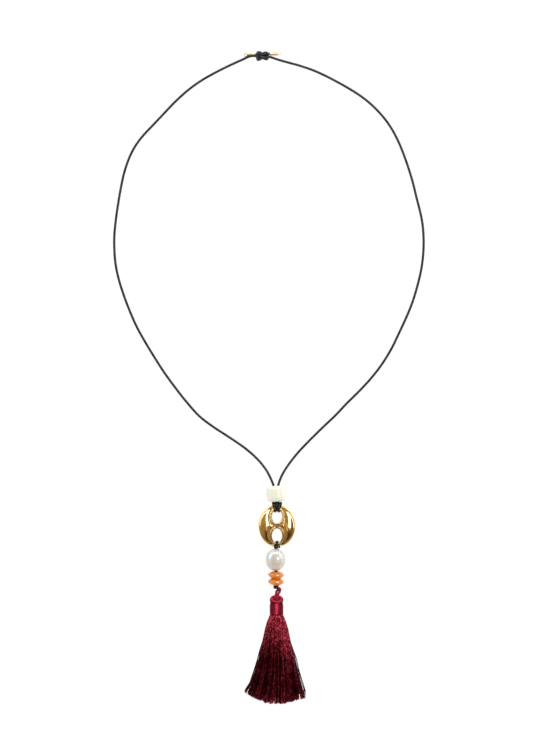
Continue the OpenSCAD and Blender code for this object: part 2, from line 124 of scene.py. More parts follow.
def twisted(path: Sequence[Vector], reach: float, pitch: float, start: float) -> list[Vector]:
    """One strand of a rope: a helix round a path.

    Args:
        path: The rope's middle.
        reach: How far the strand's middle stays from it.
        pitch: The length of one turn.
        start: Where the strand starts, as a share of a turn.

    Returns:
        The points of the strand's middle.
    """
    strand = []
    along = 0.0
    for index, place in enumerate(frames_along(path)):
        along += (path[index] - path[index - 1]).length if index else 0
        angle = TURN * (along / pitch + start)
        strand.append(place @ (reach * Vector((math.cos(angle), math.sin(angle), 0))))
    return strand


def eased(share: float) -> float:
    """A share from 0 to 1 that starts and ends gently."""
    share = min(1, max(0, share))
    return share**2 * (3 - 2 * share)


def arc(x: float, y: float, radius: float, start: float, end: float, steps: int) -> Profile:
    """Points of an arc in a turned profile, by its middle, radius and first and last angle in degrees."""
    angles = [math.radians(start + (end - start) * step / steps) for step in range(steps + 1)]
    return [(x + radius * math.cos(angle), y + radius * math.sin(angle)) for angle in angles]


class Maker:
    """One piece in the making: a bmesh that operators fill, and the mesh object that it becomes.

    Every vertex knows its strand's tone, and its place in the strand laid out straight or in the
    turned body on its lathe, so that a grain or a streak follows the piece.
    """

    def __init__(self, name: str) -> None:
        """Starts an empty piece of that name.

        Args:
            name: The piece's name.
        """
        self.name = name
        self.bm = bmesh.new()
        self.place = self.bm.verts.layers.float_vector.new("strand_place")
        self.tone = self.bm.verts.layers.float.new("tone")

    def _face_outwards(self, verts: Iterable[bmesh.types.BMVert]) -> None:
        """Turns the faces of a closed body outwards."""
        faces = list({face for vert in verts for face in vert.link_faces})
        bmesh.ops.recalc_face_normals(self.bm, faces=faces)

    def loft(
        self, shapes: Sequence[Matrix], sides: int, tone: float, frames: Sequence[Matrix] | None = None
    ) -> None:
        """Extrudes a unit circle through a row of shapes, and closes both ends.

        Args:
            shapes: Where each ring is, and how the circle is turned and scaled there.
            sides: How many sides the circle has.
            tone: The tone of what is made.
            frames: The unscaled places of the rings, for the strand's straight places.
        """
        frames = frames or shapes
        start = bmesh.ops.create_circle(self.bm, cap_ends=True, segments=sides, radius=1, matrix=shapes[0])
        ring = start["verts"]
        edges = list({edge for vert in ring for edge in vert.link_edges})
        made = list(ring)
        along = 0.0
        for index, shape in enumerate(shapes):
            if index:
                grown = bmesh.ops.extrude_edge_only(self.bm, edges=edges)["geom"]
                ring = [part for part in grown if isinstance(part, bmesh.types.BMVert)]
                edges = [part for part in grown if isinstance(part, bmesh.types.BMEdge)]
                bmesh.ops.transform(self.bm, matrix=shape @ shapes[index - 1].inverted(), verts=ring)
                along += (shape.translation - shapes[index - 1].translation).length
                made += ring
            to_local = frames[index].inverted()
            for vert in ring:
                local = to_local @ vert.co
                vert[self.place] = Vector((local.x, local.y, along))
                vert[self.tone] = tone
        bmesh.ops.contextual_create(self.bm, geom=edges)
        self._face_outwards(made)

    def sweep(
        self,
        path: Sequence[Vector],
        radius: float | Sequence[float],
        sides: int,
        tone: float = 0.5,
        side: Vector | None = None,
    ) -> None:
        """Sweeps a round strand along a path.

        Args:
            path: The points of the strand's middle.
            radius: The strand's radius, or one for each point.
            sides: How many sides the round has.
            tone: The strand's tone, from 0 to 1.
            side: Where the first ring's X looks.
        """
        radii = [radius] * len(path) if isinstance(radius, (int, float)) else radius
        frames = frames_along(path, side)
        self.loft([place @ Matrix.Scale(size, 4) for place, size in zip(frames, radii)], sides, tone, frames)

    def turn(self, profile: Profile, place: Matrix, steps: int, tone: float = 0.5) -> None:
        """Turns a closed profile round an axis, as on a lathe.

        Args:
            profile: Radius and height of each corner of the profile, in millimetres, in order round it.
            place: Where the lathe's axis, which is Z, and its foot are put.
            steps: How many steps the full turn has.
            tone: The tone of the turned body.
        """
        before = set(self.bm.verts)
        verts = [self.bm.verts.new((radius * MM, 0, height * MM)) for radius, height in profile]
        edges = [self.bm.edges.new(pair) for pair in zip(verts, verts[1:] + verts[:1])]
        lathe = {"cent": (0, 0, 0), "axis": (0, 0, 1), "angle": TURN, "use_merge": True}
        bmesh.ops.spin(self.bm, geom=verts + edges, steps=steps, **lathe)
        made = [vert for vert in self.bm.verts if vert not in before]
        bmesh.ops.remove_doubles(self.bm, verts=made, dist=TOUCHING)
        made = [vert for vert in self.bm.verts if vert not in before]
        self._face_outwards(made)
        for vert in made:
            vert[self.place] = vert.co.copy()
            vert[self.tone] = tone
        bmesh.ops.transform(self.bm, matrix=place, verts=made)

    def done(self, material: Material) -> Piece:
        """Turns the bmesh into a smooth mesh object with its material.

        Args:
            material: What it is made of.

        Returns:
            The piece.
        """
        mesh = bpy.data.meshes.new(self.name)
        self.bm.to_mesh(mesh)
        self.bm.free()
        return placed(self.name, mesh, material)


class Bundle:
    """Many thin threads of one piece, drawn as curves and turned into one mesh."""

    def __init__(self, name: str, radius: float) -> None:
        """Starts an empty bundle of threads of that radius, in metres.

        Args:
            name: The piece's name.
            radius: The threads' radius in metres.
        """
        self.name = name
        self.curve = bpy.data.curves.new(name, "CURVE")
        self.curve.dimensions = "3D"
        self.curve.bevel_depth = radius
        self.curve.bevel_resolution = 0
        self.tones: list[float] = []

    def thread(self, path: Sequence[Vector], tones: float | Sequence[float], tip: float = 1.0) -> None:
        """Adds a thread.

        Args:
            path: The points that it follows.
            tones: Its tone, from 0 to 1, or one for each point.
            tip: How thick its end is, as a share of its thickness.
        """
        spline = self.curve.splines.new("POLY")
        spline.points.add(len(path) - 1)
        spline.points.foreach_set("co", [number for point in path for number in (*point, 1)])
        spline.points[-1].radius = tip
        tones = [tones] * len(path) if isinstance(tones, (int, float)) else tones
        self.tones += [min(1, max(0, tone)) for tone in tones]

    def done(self, material: Material) -> Piece:
        """Turns the threads into one mesh object, each with its tone.

        Args:
            material: What it is made of.

        Returns:
            The piece.
        """
        drawn = bpy.data.objects.new(self.name + "_drawn", self.curve)
        bpy.context.scene.collection.objects.link(drawn)
        mesh = final_mesh(drawn)
        bpy.data.curves.remove(self.curve)
        sides = len(mesh.vertices) // len(self.tones)
        tones = [tone for tone in self.tones for _ in range(sides)]
        mesh.attributes.new("tone", "FLOAT", "POINT").data.foreach_set("value", tones)
        bm = bmesh.new()
        bm.from_mesh(mesh)
        bmesh.ops.holes_fill(bm, edges=[edge for edge in bm.edges if edge.is_boundary], sides=sides)
        bm.to_mesh(mesh)
        bm.free()
        mesh.name = self.name
        return placed(self.name, mesh, material)


def placed(name: str, mesh: bpy.types.Mesh, material: Material) -> Piece:
    """Links a mesh as a smooth piece.

    Args:
        name: The piece's name.
        mesh: Its mesh, with its place in its vertices.
        material: What it is made of.

    Returns:
        The piece's object, at the origin.
    """
    mesh.materials.clear()
    mesh.materials.append(material)
    mesh.shade_smooth()
    piece = bpy.data.objects.new(name, mesh)
    bpy.context.scene.collection.objects.link(piece)
    mesh.calc_loop_triangles()
    LOG.info("%s: %d triangles", name, len(mesh.loop_triangles))
    return piece


def final_mesh(drawn: Piece) -> bpy.types.Mesh:
    """Takes an object's mesh with its modifiers or its bevel, and removes the object.

    Args:
        drawn: The object.

    Returns:
        Its mesh.
    """
    graph = bpy.context.evaluated_depsgraph_get()
    mesh = bpy.data.meshes.new_from_object(drawn.evaluated_get(graph))
    bpy.data.objects.remove(drawn)
    return mesh


def seat(piece: Piece, slot: str, *nodes: str) -> Piece:
    """Lets a piece ride on the necklace and stand for its solids.

    Args:
        piece: The piece.
        slot: Not used.
        *nodes: The solids that it stands for, if there are any.

    Returns:
        The same piece.
    """
    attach(piece, "root")
    if nodes:
        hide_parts(*nodes)
    return piece


class Tree:
    """A node tree that is filled one node at a time."""

    def __init__(self, tree: bpy.types.NodeTree) -> None:
        """Takes a tree and empties it."""
        self.tree = tree
        tree.nodes.clear()

    def add(self, kind: str, sockets: dict | None = None, **settings) -> bpy.types.Node:
        """Adds a node.

        Args:
            kind: The node's type.
            sockets: Values or links for its inputs, by name or place.
            **settings: The node's own properties, set first.

        Returns:
            The node.
        """
        node = self.tree.nodes.new(kind)
        for name, value in settings.items():
            setattr(node, name, value)
        for name, value in (sockets or {}).items():
            self.put(node.inputs[name], value)
        return node

    def put(self, socket: Socket, value: Value) -> None:
        """Links a socket to another, or gives it a plain number or colour."""
        if isinstance(value, Socket):
            self.tree.links.new(value, socket)
        elif isinstance(value, tuple) and socket.type == "RGBA":
            socket.default_value = (*value, 1)
        else:
            socket.default_value = value

    def math(self, operation: str, *values: Value) -> Socket:
        """Adds a Math node and returns its result."""
        return self.add("ShaderNodeMath", dict(enumerate(values)), operation=operation).outputs[0]

    def mix(self, share: Value, first: Value, second: Value) -> Socket:
        """Mixes two colours.

        Args:
            share: How much of the second there is, as a number or a link.
            first: The first colour or its link.
            second: The second colour or its link.

        Returns:
            The mixed colour.
        """
        node = self.add("ShaderNodeMix", data_type="RGBA")
        for name, value in (("Factor_Float", share), ("A_Color", first), ("B_Color", second)):
            self.put(next(socket for socket in node.inputs if socket.identifier == name), value)
        return next(socket for socket in node.outputs if socket.identifier == "Result_Color")

    def ramp(self, value: Value, low: Value, high: Value, **settings) -> Socket:
        """Runs a value from 0 to 1 between two levels."""
        sockets = {"Value": value, "From Min": low, "From Max": high}
        return self.add("ShaderNodeMapRange", sockets, **settings).outputs[0]

    def noise(self, place: Socket, scale: Value, detail: float) -> Socket:
        """Reads a noise at a place."""
        sockets = {"Vector": place, "Scale": scale, "Detail": detail}
        return self.add("ShaderNodeTexNoise", sockets).outputs["Fac"]

    def stretched(self, place: Socket, scale: Value) -> Socket:
        """Stretches a place by a factor on each axis."""
        return self.add("ShaderNodeVectorMath", {0: place, 1: scale}, operation="MULTIPLY").outputs[0]

    def parts(self, place: Socket) -> bpy.types.bpy_prop_collection:
        """Splits a place into its X, Y and Z."""
        return self.add("ShaderNodeSeparateXYZ", {"Vector": place}).outputs

    def group(self, group: bpy.types.NodeTree, *values: Value) -> bpy.types.bpy_prop_collection:
        """Puts in a shared group, with values for its inputs in their order, and returns its outputs."""
        return self.add("ShaderNodeGroup", dict(enumerate(values)), node_tree=group).outputs

    def facing(self, blend: float) -> Socket:
        """Tells how far a face is turned away."""
        return self.add("ShaderNodeLayerWeight", {"Blend": blend}).outputs["Facing"]

    def attribute(self, name: str, output: str) -> Socket:
        """Reads an attribute of the piece."""
        return self.add("ShaderNodeAttribute", attribute_name=name).outputs[output]

    def strand(self) -> Socket:
        """Reads the place in the strand or on the lathe."""
        return self.attribute("strand_place", "Vector")

    def place(self) -> Socket:
        """Reads the place in the piece."""
        return self.add("ShaderNodeTexCoord").outputs["Object"]


class Effects:
    """The shader node groups that more than one finish uses, each built once."""

    def __init__(self) -> None:
        """Builds the groups."""
        self.patches = self._patches()
        self.grain = self._grain()
        self.plait = self._plait()

    @staticmethod
    def _new(name: str, inputs: dict[str, float | None], outputs: Sequence[str]) -> tuple:
        """Starts a group.

        Args:
            name: The group's name.
            inputs: Each input's first value, or None for a place.
            outputs: The names of the outputs, which are plain values.

        Returns:
            The tree, the node with the inputs and the node for the outputs.
        """
        group = bpy.data.node_groups.new(name, "ShaderNodeTree")
        for label, value in inputs.items():
            kind = "NodeSocketVector" if value is None else "NodeSocketFloat"
            socket = group.interface.new_socket(label, in_out="INPUT", socket_type=kind)
            if value is not None:
                socket.default_value = value
        for label in outputs:
            group.interface.new_socket(label, in_out="OUTPUT", socket_type="NodeSocketFloat")
        tree = Tree(group)
        return tree, tree.add("NodeGroupInput").outputs, tree.add("NodeGroupOutput").inputs

    def _patches(self) -> bpy.types.NodeTree:
        """Soft patches: a noise stretched to run from 0 to 1 between two levels.

        Returns:
            The group.
        """
        inputs = {"Place": None, "Scale": 100.0, "Low": 0.35, "High": 0.65}
        tree, given, result = self._new("soft patches", inputs, ["Value"])
        noise = tree.noise(given["Place"], given["Scale"], 3.0)
        tree.put(result["Value"], tree.ramp(noise, given["Low"], given["High"]))
        return tree.tree

    def _grain(self) -> bpy.types.NodeTree:
        """A fine grain drawn out along Z: a height for a bump, and the same as a mask.

        Returns:
            The group.
        """
        inputs = {"Place": None, "Across": 3000.0, "Along": 800.0}
        tree, given, result = self._new("drawn grain", inputs, ["Height", "Mask"])
        axes = {"X": given["Across"], "Y": given["Across"], "Z": given["Along"]}
        scale = tree.add("ShaderNodeCombineXYZ", axes).outputs[0]
        height = tree.noise(tree.stretched(given["Place"], scale), 1.0, 4.0)
        tree.put(result["Height"], height)
        tree.put(result["Mask"], tree.ramp(height, 0.4, 0.6))
        return tree.tree

    def _plait(self) -> bpy.types.NodeTree:
        """The ridges of strands that are plaited round a cord, crossing one another both ways.

        Returns:
            The group.
        """
        inputs = {"Place": None, "Strands": 3.0, "Pitch": 0.003}
        tree, given, result = self._new("round plait", inputs, ["Height"])
        part = tree.parts(given["Place"])
        around = tree.math("MULTIPLY", tree.math("ARCTAN2", part["Y"], part["X"]), given["Strands"])
        along = tree.math("MULTIPLY", tree.math("DIVIDE", part["Z"], given["Pitch"]), TURN)
        one_way = tree.math("SINE", tree.math("ADD", around, along))
        other_way = tree.math("SINE", tree.math("SUBTRACT", around, along))
        ridge = tree.math("MAXIMUM", one_way, other_way)
        tree.put(result["Height"], tree.math("MULTIPLY_ADD", ridge, 0.5, 0.5))
        return tree.tree

    def plaited(self, tree: Tree, place: Socket, strands: float, pitch: float) -> Socket:
        """Adds a plait to a material and returns its height."""
        return tree.group(self.plait, place, strands, pitch)["Height"]

    def soft(
        self, tree: Tree, place: Socket, scale: float, low: float = 0.35, high: float = 0.65
    ) -> Socket:
        """Adds soft patches to a material and returns their value."""
        return tree.group(self.patches, place, scale, low, high)["Value"]

    def drawn(self, tree: Tree, place: Socket, across: float, along: float) -> tuple[Socket, Socket]:
        """Adds a drawn grain to a material and returns its height and its mask."""
        outputs = tree.group(self.grain, place, across, along)
        return outputs["Height"], outputs["Mask"]


@dataclass(frozen=True)
class Finish:
    """What every finish has: its name, and the way in which its material is made."""

    name: str

    def make(self, effects: Effects) -> Material:
        """Builds the material from the shared effects.

        Args:
            effects: The shared effects.

        Returns:
            The material.
        """
        material = bpy.data.materials.new(self.name)
        material.use_nodes = True
        self._dress(Tree(material.node_tree), effects)
        return material

    def _dress(self, tree: Tree, effects: Effects) -> None:
        """Fills the material's tree with the finish's own nodes."""
        raise NotImplementedError

    @staticmethod
    def _polish(roughness: float, coat: float, coat_roughness: float) -> dict[str, float]:
        """The shader's values for a polished body under a clear coat."""
        return {"Roughness": roughness, "Coat Weight": coat, "Coat Roughness": coat_roughness}

    @staticmethod
    def _close(tree: Tree, sockets: dict, height: Socket | None = None, depth: float = 0.0) -> None:
        """Adds the shader.

        Args:
            tree: The material's tree.
            sockets: Plain values and links for the shader's inputs.
            height: The height for a bump, if there is one.
            depth: The bump's depth in metres.
        """
        shader = tree.add("ShaderNodeBsdfPrincipled", sockets)
        if height is not None:
            bump = tree.add("ShaderNodeBump", {"Height": height, "Distance": depth, "Strength": 1.0})
            tree.put(shader.inputs["Normal"], bump.outputs[0])
        tree.add("ShaderNodeOutputMaterial", {"Surface": shader.outputs[0]})


@dataclass(frozen=True)
class Leather(Finish):
    """Plaited black leather: dark in the grooves, with grey rubbed ridges and a fine grain."""

    dye: Colour
    rubbed: Colour
    roughness: float
    strands: float = 3.0
    pitch: float = 0.0026
    depth: float = 0.00012
    rub_scale: float = 260.0
    rub_edge: float = 3.0
    grain_scale: tuple[float, float] = (5200.0, 1500.0)
    grain_height: float = 0.15
    grain_rough: float = 0.12

    def _dress(self, tree: Tree, effects: Effects) -> None:
        """Rubs the plait's ridges grey in patches, and lays the grain on it.

        Args:
            tree: The material's tree.
            effects: The shared effects.
        """
        place = tree.strand()
        ridge = effects.plaited(tree, place, self.strands, self.pitch)
        rubs = effects.soft(tree, place, self.rub_scale)
        grain, mask = effects.drawn(tree, place, *self.grain_scale)
        worn = tree.math("MULTIPLY", tree.math("POWER", ridge, self.rub_edge), rubs)
        rough = tree.math("MULTIPLY_ADD", mask, self.grain_rough, self.roughness)
        height = tree.math("MULTIPLY_ADD", grain, self.grain_height, ridge)
        sockets = {"Base Color": tree.mix(worn, self.dye, self.rubbed), "Roughness": rough}
        self._close(tree, sockets, height, self.depth)


@dataclass(frozen=True)
class Gilt(Finish):
    """Polished gilt metal with hairline wear, paler seen aslant, which is a painted reflection, and browner
    where a lip is marked, which is painted shade.
    """

    gold: Colour
    pale: Colour
    roughness: float
    # Painted shade: the browner colour of the lips round the link's openings, and how much of it they take.
    painted_lip_shade: Colour = (0.42, 0.25, 0.08)
    lip_shade_share: float = 0.58
    cloud_scale: float = 260.0
    cloud_share: float = 0.2
    cloud_depth: float = 0.00002
    # Painted reflection: the range of facing over which the gold turns pale at its rim.
    rim_reflection_facing: tuple[float, float] = (0.15, 0.4)
    wear_scale: tuple[float, float] = (900.0, 5200.0)
    wear_rough: float = 0.04

    def _dress(self, tree: Tree, effects: Effects) -> None:
        """Clouds the gold, pales it aslant as a painted reflection, browns the lips as painted shade and
        roughens it with hairlines.

        Args:
            tree: The material's tree.
            effects: The shared effects.
        """
        place = tree.place()
        cloud = effects.soft(tree, place, self.cloud_scale, high=0.75)
        _, wear = effects.drawn(tree, place, *self.wear_scale)
        # Painted reflection: the gold turns pale seen aslant.
        sheen = tree.ramp(tree.facing(0.5), *self.rim_reflection_facing)
        gold = tree.mix(tree.math("MULTIPLY", cloud, self.cloud_share), self.gold, self.pale)
        # Painted shade: the lips round the openings are browned.
        painted_lip_shade = tree.math("MULTIPLY", tree.attribute("lip", "Fac"), self.lip_shade_share)
        sockets = {
            "Base Color": tree.mix(painted_lip_shade, tree.mix(sheen, gold, self.pale), self.painted_lip_shade),
            "Roughness": tree.math("MULTIPLY_ADD", wear, self.wear_rough, self.roughness),
            "Metallic": 1.0,
        }
        self._close(tree, sockets, cloud, self.cloud_depth)


@dataclass(frozen=True)
class Bone(Finish):
    """Polished bone: cream, with fine streaks along the bead and a greener side."""

    cream: Colour
    shade: Colour
    streak: Colour
    streak_scale: tuple[float, float] = (1100.0, 60.0)
    streak_share: float = 0.3
    streak_depth: float = 0.000015
    shade_scale: float = 150.0

    def _dress(self, tree: Tree, effects: Effects) -> None:
        """Shades the cream in patches and draws the streaks over it.

        Args:
            tree: The material's tree.
            effects: The shared effects.
        """
        place = tree.strand()
        height, mask = effects.drawn(tree, place, *self.streak_scale)
        ground = tree.mix(effects.soft(tree, place, self.shade_scale, low=0.4), self.cream, self.shade)
        colour = tree.mix(tree.math("MULTIPLY", mask, self.streak_share), ground, self.streak)
        sockets = {"Base Color": colour, **self._polish(0.28, 0.8, 0.08)}
        self._close(tree, sockets, height, self.streak_depth)


@dataclass(frozen=True)
class Nacre(Finish):
    """Pearl: layers of nacre that show faint rose, cream and blue, with a painted sheen at its rim and a
    painted reflection of the orange stone at its foot.
    """

    body: Colour
    rose: Colour
    # Painted sheen: the colour that the pearl takes seen aslant.
    edge: Colour
    # Painted reflection of the orange stone on the pearl's foot, and the heights over which it comes in.
    glow: Colour
    saucer_reflection_from: tuple[float, float] = (0.0047, 0.0062)
    rose_scale: float = 130.0
    ripple_scale: float = 420.0
    ripple_depth: float = 0.000004

    def _dress(self, tree: Tree, effects: Effects) -> None:
        """Mixes the rose in patches, the edge seen aslant, which is a painted sheen, and the glow at the
        foot, which is a painted reflection of the orange stone.

        Args:
            tree: The material's tree.
            effects: The shared effects.
        """
        place = tree.place()
        body = tree.mix(effects.soft(tree, place, self.rose_scale, 0.4, 0.7), self.body, self.rose)
        # Painted reflection of the orange stone, on the pearl's foot.
        foot = tree.ramp(tree.parts(tree.strand())["Z"], *self.saucer_reflection_from)
        colour = tree.mix(foot, tree.mix(tree.facing(0.35), body, self.edge), self.glow)
        sockets = {"Base Color": colour, **self._polish(0.25, 0.8, 0.05)}
        ripple = effects.soft(tree, place, self.ripple_scale, 0.3, 0.7)
        self._close(tree, sockets, ripple, self.ripple_depth)


@dataclass(frozen=True)
class Stone(Finish):
    """Polished orange stone with darker bands round its axis and small clouds."""

    bright: Colour
    deep: Colour
    cloud_scale: float = 200.0
    cloud_share: float = 0.25
    band_scale: tuple[float, float] = (60.0, 1200.0)
    band_share: float = 0.15
    band_depth: float = 0.000003

    def _dress(self, tree: Tree, effects: Effects) -> None:
        """Deepens the stone in clouds and bands, and lets light into it.

        Args:
            tree: The material's tree.
            effects: The shared effects.
        """
        place = tree.strand()
        cloud = effects.soft(tree, place, self.cloud_scale, high=0.7)
        height, bands = effects.drawn(tree, place, *self.band_scale)
        deep = tree.math("MULTIPLY", cloud, self.cloud_share)
        deep = tree.math("MULTIPLY_ADD", bands, self.band_share, deep)
        sockets = {
            "Base Color": tree.mix(deep, self.bright, self.deep),
            "Subsurface Weight": 0.15,
            "Subsurface Radius": (0.002, 0.0008, 0.0004),
            "Subsurface Scale": 0.5,
            "Coat IOR": 1.6,
            **self._polish(0.22, 0.7, 0.1),
        }
        self._close(tree, sockets, height, self.band_depth)


@dataclass(frozen=True)
class Silk(Finish):
    """Dyed silk thread, whose twist glints in small dashes."""

    dark: Colour
    dye: Colour
    glint: Colour
    glint_share: float
    shine: float
    glint_shine: float = 0.8
    glint_edge: float = 2.6
    dash_scale: float = 2400.0
    dash_stretch: Point = (1.0, 0.3, 1.0)
    cloud_scale: float = 160.0
    cloud_share: float = 0.15
    sheen: Colour = (1.0, 0.12, 0.2)

    def _dress(self, tree: Tree, effects: Effects) -> None:
        """Dyes each thread by its tone, which in the head and the skirt holds painted light and shade, and a
        cloud, and lets the lighter ones glint.

        Args:
            tree: The material's tree.
            effects: The shared effects.
        """
        place = tree.place()
        cloud = effects.soft(tree, place, self.cloud_scale)
        stretched = tree.stretched(place, self.dash_stretch)
        # The dashes are metallic patches that reflect the lamps; their bright glint colour is also a painted
        # glint.
        dash = effects.soft(tree, stretched, self.dash_scale, 0.5, 0.7)
        level = tree.math("MULTIPLY", tree.attribute("tone", "Fac"), 1 - self.cloud_share)
        level = tree.math("MULTIPLY_ADD", cloud, self.cloud_share, level)
        glints = tree.math("MULTIPLY", tree.math("POWER", level, self.glint_edge), self.glint_share)
        share = tree.math("MINIMUM", tree.math("MULTIPLY", dash, glints), 1.0)
        sockets = {
            "Base Color": tree.mix(share, tree.mix(level, self.dark, self.dye), self.glint),
            "Metallic": tree.math("MULTIPLY_ADD", share, self.glint_shine - self.shine, self.shine),
            "Roughness": 0.34,
            "Specular IOR Level": 0.1,
            "Specular Tint": self.sheen,
        }
        self._close(tree, sockets)


@dataclass(frozen=True)
class Table(Finish):
    """The light table under the necklace, which glows white and so keeps no shadows."""

    white: float
    glow: float

    def make(self, effects: Effects) -> Material:
        """Builds the material, whose glow is not sampled as a lamp.

        Args:
            effects: The shared effects.

        Returns:
            The material.
        """
        material = super().make(effects)
        material.cycles.emission_sampling = "NONE"
        return material

    def _dress(self, tree: Tree, effects: Effects) -> None:
        """Sets the glow; the table is plain and uses no effects."""
        sockets = {
            "Base Color": (self.white,) * 3,
            "Roughness": 0.9,
            "Emission Color": (1.0, 1.0, 1.0),
            "Emission Strength": self.glow,
        }
        self._close(tree, sockets)


FINISHES = (
    Leather("black leather", dye=(0.004, 0.004, 0.005), rubbed=(0.045, 0.055, 0.072), roughness=0.34),
    # A darker copy of the black leather for the hitch and the drop's thin cord; on the hitch, which is the
    # neck cord itself, the darker dye is painted shade.
    Leather("darker black leather", dye=(0.002, 0.002, 0.002), rubbed=(0.016, 0.016, 0.017), roughness=0.22),
    Gilt("gilt", gold=(0.93, 0.75, 0.46), pale=(0.98, 0.78, 0.42), roughness=0.06),
    # Two copies of the gilt for the end caps, which are one metal: the deeper amber on the left cap is
    # painted shade, and the pale body on the right cap is painted light, whose browner colour seen aslant is
    # painted shade at the tube's edges.
    Gilt("amber gilt in painted shade", gold=(0.93, 0.66, 0.26), pale=(0.93, 0.7, 0.34), roughness=0.3),
    Gilt("pale gilt in painted light", gold=(0.95, 0.8, 0.6), pale=(0.8, 0.5, 0.26), roughness=0.12),
    Bone("bone", cream=(0.95, 0.91, 0.77), shade=(0.88, 0.88, 0.76), streak=(0.84, 0.8, 0.62)),
    # The nacre's edge is a painted sheen and its glow a painted reflection of the orange stone.
    Nacre(
        "nacre",
        body=(0.68, 0.61, 0.53),
        rose=(0.6, 0.51, 0.42),
        edge=(0.64, 0.66, 0.62),
        glow=(0.85, 0.43, 0.19),
    ),
    Stone("orange stone", bright=(0.8, 0.25, 0.02), deep=(0.5, 0.1, 0.006)),
    Silk(
        "burgundy silk",
        dark=(0.001, 0.0, 0.0001),
        dye=(0.11, 0.002, 0.005),
        glint=(1.0, 0.13, 0.23),
        glint_share=3.2,
        shine=0.0,
    ),
    Silk(
        "bound silk",
        dark=(0.05, 0.002, 0.005),
        dye=(0.19, 0.013, 0.027),
        glint=(0.7, 0.08, 0.13),
        glint_share=0.3,
        shine=0.6,
    ),
    # A lighter copy of the burgundy silk for the head and the loop; its brighter dye is painted light.
    Silk(
        "lit copy of burgundy silk",
        dark=(0.015, 0.0, 0.002),
        dye=(0.62, 0.04, 0.09),
        glint=(0.9, 0.12, 0.22),
        glint_share=0.3,
        shine=0.3,
    ),
    Table("white table", white=0.08, glow=0.97),
)


class Side(Enum):
    """A side of the necklace, as it is seen from above."""

    LEFT = -1
    RIGHT = 1


# Chosen points of the neck cord, in millimetres, from the back knot to the bone bead.
# Columns: x, y, rise above the table as a share of the way to the bead's axis
LEFT_ROUTE = (
    (-16, 128, 0.4), (-20, 126.3, 0.13), (-28, 122.7, 0), (-36, 118.7, 0), (-44, 114.2, 0),
    (-52, 108.6, 0), (-60, 101.5, 0), (-67, 94.2, 0), (-74, 86.8, 0), (-80, 80.4, 0),
    (-84.5, 74.3, 0), (-88, 67.5, 0), (-91, 58.8, 0), (-93, 49.8, 0), (-94.7, 40, 0),
    (-96, 31, 0), (-97, 21, 0), (-97, 12, 0), (-96.2, 3, 0), (-94.2, -6.2, 0),
    (-91.2, -15.6, 0), (-87.6, -25, 0), (-83.5, -34.2, 0), (-78.4, -43.4, 0), (-72.8, -52.6, 0),
    (-67, -61.6, 0), (-60.6, -70.4, 0), (-53.5, -79.4, 0), (-46, -87.7, 0), (-37.5, -94.2, 0),
    (-28, -100.4, 0), (-19, -106.6, 0.04), (-11.6, -113, 0.22), (-6.2, -119.5, 0.58),
    (-3, -125.4, 0.92),
)
RIGHT_ROUTE = (
    (2, 126, 0.1), (7.5, 124.5, 0), (14, 122.7, 0), (22, 120, 0), (29, 116.9, 0),
    (36, 113.3, 0), (43, 109.4, 0), (50, 105, 0), (56, 100.4, 0), (61.4, 95.2, 0),
    (66, 89.8, 0), (70, 83.8, 0), (73.5, 77, 0), (76.4, 70, 0), (79.4, 61.5, 0),
    (82, 53, 0), (84.2, 44, 0), (86.5, 35, 0), (88, 27, 0), (88.6, 18, 0),
    (88.3, 9, 0), (87.1, 0, 0), (85, -9, 0), (82, -19, 0), (78.4, -28, 0),
    (74, -37.5, 0), (69.4, -47, 0), (63.6, -56.5, 0), (57, -65, 0), (50, -72.6, 0),
    (42.5, -80, 0), (35.4, -87.5, 0), (28, -94.5, 0), (20.4, -102, 0), (13.7, -109, 0.12),
    (8.2, -115.8, 0.36), (4.4, -121.5, 0.7), (2.3, -126, 0.93),
)

# Paths of the two ends in the back knot, in cord diameters from the knot's middle
LEFT_KNOT = (
    (-3, 0, 0.55), (-2, -0.35, 0.1), (-1, -0.5, 0.4), (0, -0.6, 0.5), (1, -1.1, 0.3),
    (1.8, -1.2, -0.5), (2.05, -0.5, -0.95), (2.05, 0.5, -0.95), (1.8, 1.2, -0.5),
    (1, 1.15, 0.3), (0, 0.6, 0.5), (-1, 0.55, 0.2), (-2, 0.55, -0.35), (-3, 0.45, -0.75),
)
RIGHT_KNOT = (
    (3, -0.4, 0), (2, -0.45, 0.1), (1, -0.4, -0.35), (0, -0.5, -0.5), (-1, -1.2, -0.4),
    (-1.8, -1.55, 0.3), (-2.05, -1, 1), (-2.05, 0, 1.2), (-2.05, 0.9, 1.05),
    (-1.8, 1.4, 0.4), (-1, 1.3, -0.4), (0, 0.7, -0.5), (1, 0.6, -0.35), (2, 0.75, 0.1),
    (3, 0.85, 0),
)

# Sections of the tassel's skirt. Columns: share of its length, share of its width, share of the
# height that it keeps from the neck, sideways shift as a share of its width
SKIRT_SECTIONS = (
    (0, 0.19, 1, 0), (0.06, 0.27, 1, 0), (0.17, 0.37, 0.95, 0), (0.28, 0.445, 0.88, 0),
    (0.39, 0.54, 0.76, 0), (0.5, 0.64, 0.6, 0.01), (0.61, 0.72, 0.46, 0), (0.72, 0.83, 0.32, 0),
    (0.86, 0.97, 0.12, -0.01), (1, 1, 0, -0.02),
)


